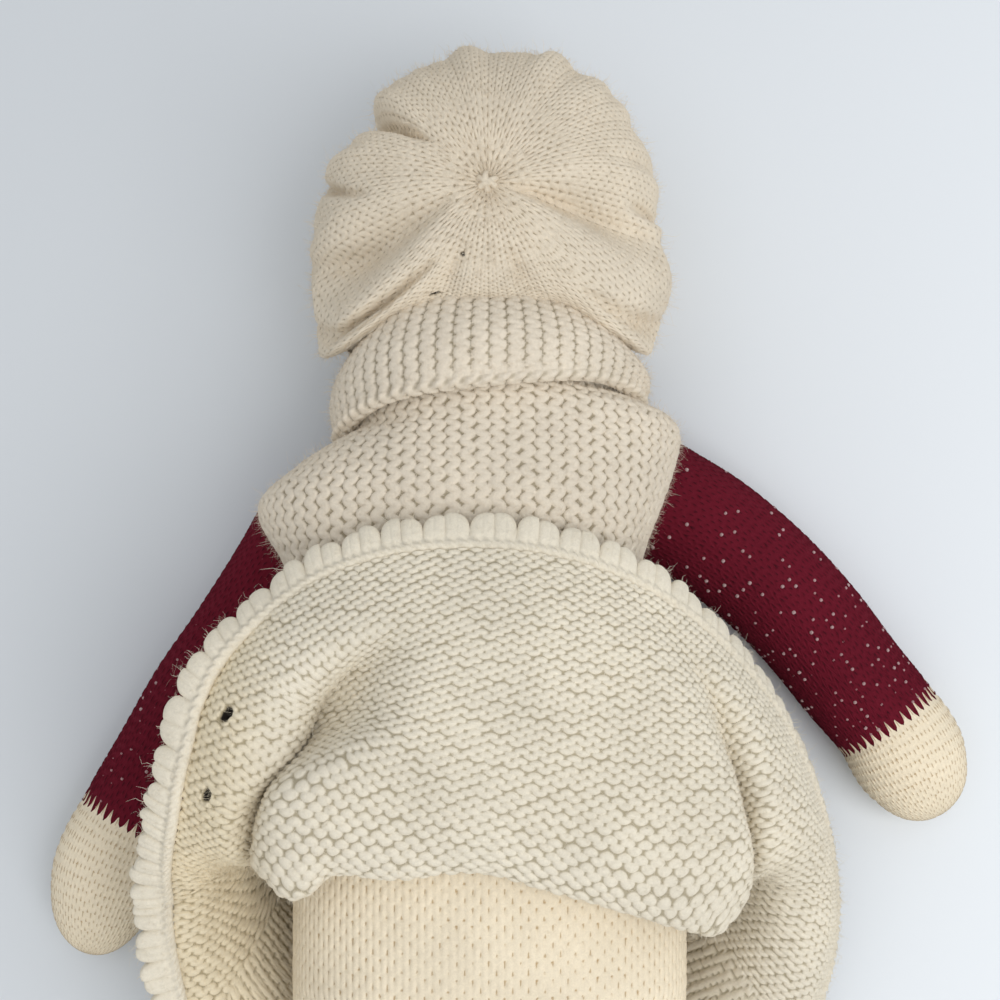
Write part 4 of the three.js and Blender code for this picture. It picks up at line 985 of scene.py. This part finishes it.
def cord(points, radius, sides=10, ply=0.18, pitch=3.2):
    """A twisted yarn along a line of points."""
    line = np.asarray(points, float)
    steps = np.linalg.norm(np.diff(line, axis=0), axis=1)
    key = np.concatenate([[0], np.cumsum(steps)])
    run = np.linspace(0, key[-1], max(int(key[-1] / 0.45), 8))
    line = np.stack([through(key, line[:, axis], run) for axis in range(3)], -1)
    heading = unit(np.gradient(line, axis=0))
    start = unit(np.cross(heading, [0.31, 0.17, 0.93]))
    other = np.cross(heading, start)
    turn, along = np.meshgrid(angles(sides), run)
    twist = np.cos(2 * turn - TURN * along / pitch)
    close = np.clip(np.minimum(along, key[-1] - along) / radius, 0, 1)
    thick = radius * (1 + ply * twist) * np.sqrt(1 - (1 - close) ** 2)
    grid = line[:, None] + thick[..., None] * (
        np.cos(turn)[..., None] * start[:, None] + np.sin(turn)[..., None] * other[:, None])
    return grid, True, True, 0.75 + 0.25 * twist


def ball(centre, radius, height):
    """A small round tuft."""
    turn, rise = np.meshgrid(angles(7), np.linspace(-1.5, 1.5, 5))
    ring = np.stack([np.cos(rise) * np.cos(turn), np.cos(rise) * np.sin(turn), np.sin(rise)], -1)
    return centre + radius * ring, True, False, height


def ellipse(half, rise, y, centre):
    """A closed line round the body."""
    return [(half * math.sin(turn), y, centre + rise * math.cos(turn)) for turn in np.linspace(0, TURN, 49)]


class PRAIRIE_OT_lower_body(bpy.types.Operator):
    """Knits the stuffed body below the waist"""
    bl_idname = "prairie.lower_body"
    bl_label = "Lower Body"

    def execute(self, context):
        angle, y = mesh_grid(WALES["body"] * 12, 270, WAIST_Y - 0.5, HIP_SEAM_Y)
        base = body_surface(angle, y)
        round_body = lengths(base, 1)
        w = round_body / round_body[:, -1:] * WALES["body"] * (1 - 1 / base.shape[1])
        height = stocking_stitch(w, courses(base, "body"), 3, 0.2, 0.27, 0.66)
        points = raised(base, (height - LEVEL) * 0.6, True, -1)
        knit("lower_body_knit", [(points, True, True, height)], "skin", "torso", "lower_body",
             "torso_stuffing", fill=0.8)
        fuzz("lower_body_fuzz", points, True, -1, "body", "skin", "torso")
        return {"FINISHED"}


class PRAIRIE_OT_bodice(bpy.types.Operator):
    """Knits the burgundy upper body, the waistband and the yarn round the neck"""
    bl_idname = "prairie.bodice"
    bl_label = "Bodice"

    def execute(self, context):
        angle, y = mesh_grid(WALES["bodice"] * 5, 150, NECK_SEAM_Y, WAIST_Y + 0.2)
        base = body_surface(angle, y)
        height = stocking_stitch(wales(angle, "bodice"), -courses(base, "bodice"), 4)
        points = raised(base, (height - LEVEL) * 0.8, True, -1)
        knit("bodice_knit", [(points, True, True, height)], "dress", "torso", "bodice", fill=0.8)
        half, rise, centre = (float(size) for size in body_section(np.array(float(WAIST_Y))))
        ring = ellipse(half + 2, rise + 2, WAIST_Y, centre)
        knit("waistband_ridge", [cord(ring, 1.7, 14, 0.25, 4.7)], "skirt", "torso", "skirt_waistband")
        reach = NECK_RADIUS + 1.8
        ring = ellipse(reach, reach, NECK_SEAM_Y + 1.4, NECK_AXIS_Z)
        knit("neck_yarn_tie", [cord(ring, 1.0)], "shawl", "torso", "neck_yarn")
        return {"FINISHED"}


class PRAIRIE_OT_skirt(bpy.types.Operator):
    """Knits the skirt with its back half turned up, and its scalloped border"""
    bl_idname = "prairie.skirt"
    bl_label = "Skirt"

    def execute(self, context):
        # Cells are small on the purl side of the turned-up half, which faces up, and larger below
        dense = np.linspace(-0.66, 0.66, SKIRT_COLUMNS) * math.pi
        sparse = np.linspace(0.66, 1.34, SKIRT_COLUMNS_BELOW)[1:-1] * math.pi
        around = np.concatenate([dense, sparse])
        angle, share = np.meshgrid(around, np.linspace(0, 1, SKIRT_ROWS))
        v = mix(0.012, by_angle(BORDER_LINE, angle), share)
        base = skirt_surface(angle, v)
        out = normals(base, False)
        facing = np.where(v < FOLD_AT, 1, smooth((np.abs(out[..., 1]) - 0.4) / 0.4))[..., None]
        across = mix(np.cross((0.2, 1, 0), out), np.array((1.0, 0, 0)), facing)
        # Stitches are stretched near the fold and closer towards the hem and in the rolls
        in_roll = smooth((np.abs(np.arctan2(np.sin(angle), np.cos(angle))) - 0.6) / 0.4)
        near_fold = smooth((0.66 - v) / 0.3)
        wale = mix(mix(4.15, 5.1, near_fold), 4.0, in_roll)
        course = mix(mix(2.6, 4.0, near_fold), 3.5, in_roll)
        w, c = stitch_field(base, across, (wale, course))
        height = purl_stitch(w, c, 5)
        for place, share, size in SKIRT_HOLES:
            near = np.hypot((angle - place) * 75, (v - share) * SKIRT_LENGTH) / size
            # The holes sink below the stitches, and the material paints them near-black as shadow
            height = height - 2.2 * np.exp(-near ** 4) * (near < 1.4)
        relief = np.maximum((height - 0.7) * 0.85, 0.3 - SKIRT_WALL)
        inner = raised(base, SKIRT_WALL / 2 + relief, True)
        keep = slice(None, None, 2)
        knit_side = stocking_stitch(w[keep, keep], -c[keep, keep], 15)
        outer = raised(base[keep, keep], SKIRT_WALL / 2 + (knit_side - 0.7) * 0.6, True, -1)
        rim = np.stack([inner[-1, keep], outer[-1]])
        skirt = knit("skirt_knit", [(inner, True, False, height), (outer, True, True, knit_side),
                                    (rim, True, False, 0.8)], "skirt", "torso", "skirt")
        ribbed = hem_border()
        border = knit("border_knit", [ribbed], "border", "torso", "skirt_border")
        fuzz("skirt_fuzz", inner[:, :len(dense)], False, 1, "skirt", "skirt", "torso")
        fuzz("border_fuzz", ribbed[0], True, 1, "border", "border", "torso")
        return {"FINISHED"}


class PRAIRIE_OT_shawl(bpy.types.Operator):
    """Knits the garter-stitch shawl and its turned-down collar"""
    bl_idname = "prairie.shawl"
    bl_label = "Shawl"

    def execute(self, context):
        angle, t = np.meshgrid(np.linspace(-0.55, 0.55, 680) * math.pi, np.linspace(0, 1, 280))
        base = shawl_surface(angle, t)
        run = lengths(base, 1)
        middle = run.shape[1] // 2
        run = run - run[:, middle:middle + 1]
        height = garter_stitch(run / SHAWL_WALE, courses(base, "shawl"), 6)
        outer = raised(base, (height - 0.8) * 0.95, False, -1)
        under = shawl_surface(angle[::4, ::4], t[::4, ::4], 3.0)
        shawl = knit("shawl_knit", [(outer, False, True, height), (under, False, False, 0.7)], "shawl",
                     "torso", "shawl")
        band = collar_grid()
        collar = knit("collar_knit", [band], "shawl", "torso", "shawl_collar")
        fuzz("shawl_fuzz", outer, False, -1, "shawl", "shawl", "torso")
        fuzz("collar_fuzz", band[0][:86], True, -1, "collar", "shawl", "torso")
        return {"FINISHED"}


class PRAIRIE_OT_bonnet(bpy.types.Operator):
    """Knits the bonnet's crown, gathered to one point"""
    bl_idname = "prairie.bonnet"
    bl_label = "Bonnet"

    def execute(self, context):
        angle, t = mesh_grid(WALES["bonnet"] * 9, 330, 0.0, 2)
        base = bonnet_surface(angle, t)
        run = courses(base, "bonnet")
        reach = np.hypot(base[..., 0] - GATHER_POINT[0], base[..., 1] - GATHER_POINT[1])
        w = wales(angle, "bonnet")
        height = stocking_stitch(w, run, 8)
        # Towards the gathered point the wales run together, two and then six at a time
        for radius, share in ((25, 2), (12, 6)):
            fewer = stocking_stitch(w / share, run, 8 + share)
            height = mix(fewer, height, smooth((reach - radius) / (0.3 * radius) + 0.5))
        height = mix(LEVEL, height, smooth(reach / 4))
        turned = from_back(angle)
        for place, share, size in BONNET_HOLES:
            away = np.hypot((turned - place) * 0.5, (t - share) * 50) / size
            # The holes sink below the stitches, and the material paints them near-black as shadow
            height = height - 1.5 * np.exp(-away ** 4)
        skin = raised(base, (height - LEVEL) * 0.55, True)
        under = bonnet_surface(angle[::4, ::4], t[::4, ::4])
        under = raised(under, np.full(under.shape[:2], 3.0), True, -1)
        # Three short strands close the point
        top = BONNET_TOP_Z - 2.6
        x, y = GATHER_POINT
        knot = []
        for turn, bend in ((0.5, 0.5), (1.7, -0.4), (2.7, 0.3)):
            east, north = math.cos(turn), math.sin(turn)
            knot.append(cord([(x + 3.4 * east, y + 3.4 * north, top - 1.6), (x + bend, y - bend, top),
                              (x - 3.2 * east, y - 3.2 * north, top - 1.6)], 1.0))
        crown = knit("bonnet_knit", [(skin, True, False, height), (under, True, True, 0.7), *knot],
                     "bonnet", "head", "bonnet_crown")
        fuzz("bonnet_fuzz", skin, True, 1, "bonnet", "bonnet", "head")
        brim = knit("brim_knit", [brim_grid()], "bonnet", "head", "bonnet_brim")
        return {"FINISHED"}


class PRAIRIE_OT_head(bpy.types.Operator):
    """Knits the head and sews its plain face and fringe"""
    bl_idname = "prairie.head"
    bl_label = "Head"

    def execute(self, context):
        points, height = tube(head_surface, "head", 7, level(0), level(0.9995), 190, 0.75, 15)
        knit("head_knit", [(points, True, False, height)], "skin", "head", "head", "head_stuffing",
             fill=0.85)
        for name, side in (("left", -1), ("right", 1)):
            strands = []
            for k in range(-4, 5):
                x = side * EYE_SPACING / 2 + k * 0.85
                tall = EYE_RADIUS * math.sqrt(max(1 - (k / 5) ** 2, 0.05))
                ends = [on_face(x, EYE_Y + tall * f, 0.9 * (1 - f * f) + 0.2) for f in (-1, -0.5, 0, 0.5, 1)]
                strands.append(cord(ends, 0.6, 8))
            knit(name + "_eye_stitches", strands, "eyes", "head", name + "_eye")
        rows = []
        for part in range(6):
            ends = []
            for f in (0, 0.5, 1):
                x = MOUTH_WIDTH * ((part + 1.15 * f) / 6.1 - 0.5)
                y = MOUTH_Y + 4 * (2 * x / MOUTH_WIDTH) ** 2
                ends.append(on_face(x, y, 0.4 + 0.8 * math.sin(math.pi * f)))
            rows.append(cord(ends, 0.95, 8))
        knit("mouth_stitches", rows, "mouth", "head", "mouth")
        loops = []
        for k in range(21):
            x = FRINGE_WIDTH * (k / 20 - 0.5)
            bow = 4 * (2 * x / FRINGE_WIDTH) ** 2
            hang = FRINGE_LENGTH * (0.85 + 0.3 * float(scatter(k, 3, 5)))
            lift = 1.2 + 1.4 * float(scatter(k, 8, 2))
            ends = []
            for f, side in ((0, -1), (0.5, -1.1), (0.9, -0.7), (1, 0), (0.9, 0.7), (0.5, 1.1), (0, 1)):
                ends.append(on_face(x * (1 + 0.1 * f) + 1.1 * side, FRINGE_Y - bow - f * hang,
                                    lift + 1.2 * math.sin(math.pi * f)))
            loops.append(cord(ends, 0.85, 8))
        knit("fringe_loops", loops, "hair", "head", "hair_fringe")
        return {"FINISHED"}


class PRAIRIE_OT_arms(bpy.types.Operator):
    """Knits the sleeves and the hands"""
    bl_idname = "prairie.arms"
    bl_label = "Arms"

    def execute(self, context):
        for k, name in enumerate(ARMS):
            body = name + "_arm"
            surface = partial(arm_surface, name)
            cuff = partial(cuff_line, name)
            points, height = tube(surface, "sleeve", 8, level(-0.999), cuff, 420, 0.5, 10 + k)
            knit(name + "_sleeve_knit", [(points, True, False, height)], "dress", body, name + "_sleeve",
                 fill=0.8)
            fuzz(name + "_sleeve_fuzz", points, True, 1, "sleeve", "dress", body, k)
            points, height = tube(surface, "hand", 8, cuff, level(1.999), 130, 0.42, 12 + k)
            points, height = capped(points, height, 0.2)
            knit(name + "_hand_knit", [(points, True, False, height)], "skin", body, name + "_hand",
                 fill=0.8)
            fuzz(name + "_hand_fuzz", points, True, 1, "hand", "skin", body, k)
            knit(name + "_arm_fibrefill", stuffing_grids(name, k), "stuffing", body, name + "_arm_stuffing")
        return {"FINISHED"}


class PRAIRIE_OT_legs(bpy.types.Operator):
    """Knits the legs and the shoes"""
    bl_idname = "prairie.legs"
    bl_label = "Legs"

    def execute(self, context):
        for name, side in (("left", -1), ("right", 1)):
            body = name + "_leg"
            points, height = tube(partial(leg_surface, side), "leg", 8, level(ANKLE_Y),
                                  level(HIP_SEAM_Y - 0.6), 190, 0.75, 20)
            knit(name + "_leg_knit", [(points, True, False, height)], "skin", body, name + "_leg",
                 name + "_leg_stuffing", fill=0.8)
            points, height = tube(partial(shoe_surface, side), "shoe", 8, level(0), level(0.999), 90,
                                  0.75, 22, -1)
            points, height = capped(points, height, 1.5)
            knit(name + "_shoe_knit", [(points, True, True, height)], "dress", body, name + "_shoe",
                 fill=0.8)
        return {"FINISHED"}


class PRAIRIE_OT_stage(bpy.types.Operator):
    """Lays the pale table, hangs the lamps and sets the camera"""
    bl_idname = "prairie.stage"
    bl_label = "Stage"

    def execute(self, context):
        width = context.scene.prairie_doll_yarns.table_width
        bpy.ops.mesh.primitive_plane_add(size=width, location=(0, 0, -0.1 * MM))
        table = context.object
        table.name = "table"
        # White laminate: smooth and pale, with painted light that makes it a little brighter towards the
        # window
        paint = bpy.data.materials.new("white_laminate")
        tree = fresh_nodes(paint)
        place = add_node(tree, "TexCoord").outputs["Object"]
        across = add_node(tree, "SeparateXYZ", {"Vector": place}).outputs["X"]
        # Painted light: the colour grows paler across the table towards the window lamp
        painted_window_light = blend(tree, ranged(tree, across, -0.12, 0.2), rgba(linear("D6DADE")), rgba(linear("EBEFF3")))
        surface = add_node(tree, "BsdfPrincipled", {
            "Base Color": painted_window_light, "Roughness": 0.6, "Specular IOR Level": 0.3})
        add_node(tree, "OutputMaterial", {"Surface": surface.outputs["BSDF"]})
        table.data.materials.append(paint)
        camera = bpy.data.objects.new("photograph_view", bpy.data.cameras.new("photograph_view"))
        context.scene.collection.objects.link(camera)
        camera.data.sensor_width = CAMERA_SENSOR
        camera.data.lens = CAMERA_LENS
        target = (Vector(ROW_SHIFT) + Vector(CAMERA_TARGET)) * MM
        camera.location = target + Vector(CAMERA_OFFSET) * MM
        camera.rotation_euler = (target - camera.location).to_track_quat("-Z", "Y").to_euler()
        context.scene.camera = camera
        world = bpy.data.worlds.new("soft_room")
        tree = fresh_nodes(world)
        rays = add_node(tree, "LightPath")
        room = add_node(tree, "Background", {"Color": (0.94, 0.97, 1, 1), "Strength": 0.55})
        seen = add_node(tree, "Background", {"Color": rgba(linear("E8EEF2")), "Strength": 1.0})
        choice = add_node(tree, "MixShader", {
            "Fac": rays.outputs["Is Camera Ray"], 1: room.outputs["Background"],
            2: seen.outputs["Background"]})
        add_node(tree, "OutputWorld", {"Surface": choice.outputs["Shader"]})
        context.scene.world = world
        for name, place, size, power in LAMPS:
            lamp = bpy.data.lights.new(name, "AREA")
            lamp.size = size
            lamp.energy = power
            obj = bpy.data.objects.new(name, lamp)
            obj.location = place
            obj.rotation_euler = (-Vector(place)).to_track_quat("-Z", "Y").to_euler()
            context.scene.collection.objects.link(obj)
        context.scene.view_settings.view_transform = "Standard"
        return {"FINISHED"}


OPERATORS = (PRAIRIE_OT_stage, PRAIRIE_OT_lower_body, PRAIRIE_OT_bodice, PRAIRIE_OT_skirt,
             PRAIRIE_OT_shawl, PRAIRIE_OT_bonnet, PRAIRIE_OT_head, PRAIRIE_OT_arms, PRAIRIE_OT_legs)


class PRAIRIE_PT_panel(bpy.types.Panel):
    """Lists the doll's yarns and pieces"""
    bl_label = "Prairie Doll"
    bl_idname = "PRAIRIE_PT_panel"
    bl_space_type = "VIEW_3D"
    bl_region_type = "UI"
    bl_category = "Prairie Doll"

    def draw(self, context):
        for key in PrairieDollYarns.__annotations__:
            self.layout.prop(context.scene.prairie_doll_yarns, key)
        for operator in OPERATORS:
            self.layout.operator(operator.bl_idname)


CLASSES = (PrairieDollYarns, *OPERATORS, PRAIRIE_PT_panel)


def register():
    for made in CLASSES:
        bpy.utils.register_class(made)
    bpy.types.Scene.prairie_doll_yarns = bpy.props.PointerProperty(type=PrairieDollYarns)


def unregister():
    del bpy.types.Scene.prairie_doll_yarns
    for made in reversed(CLASSES):
        bpy.utils.unregister_class(made)


def main():
    register()
    for operator in OPERATORS:
        group, call = operator.bl_idname.split(".")
        getattr(getattr(bpy.ops, group), call)()
    bpy.context.view_layer.update()


if __name__ == "__main__":
    main()
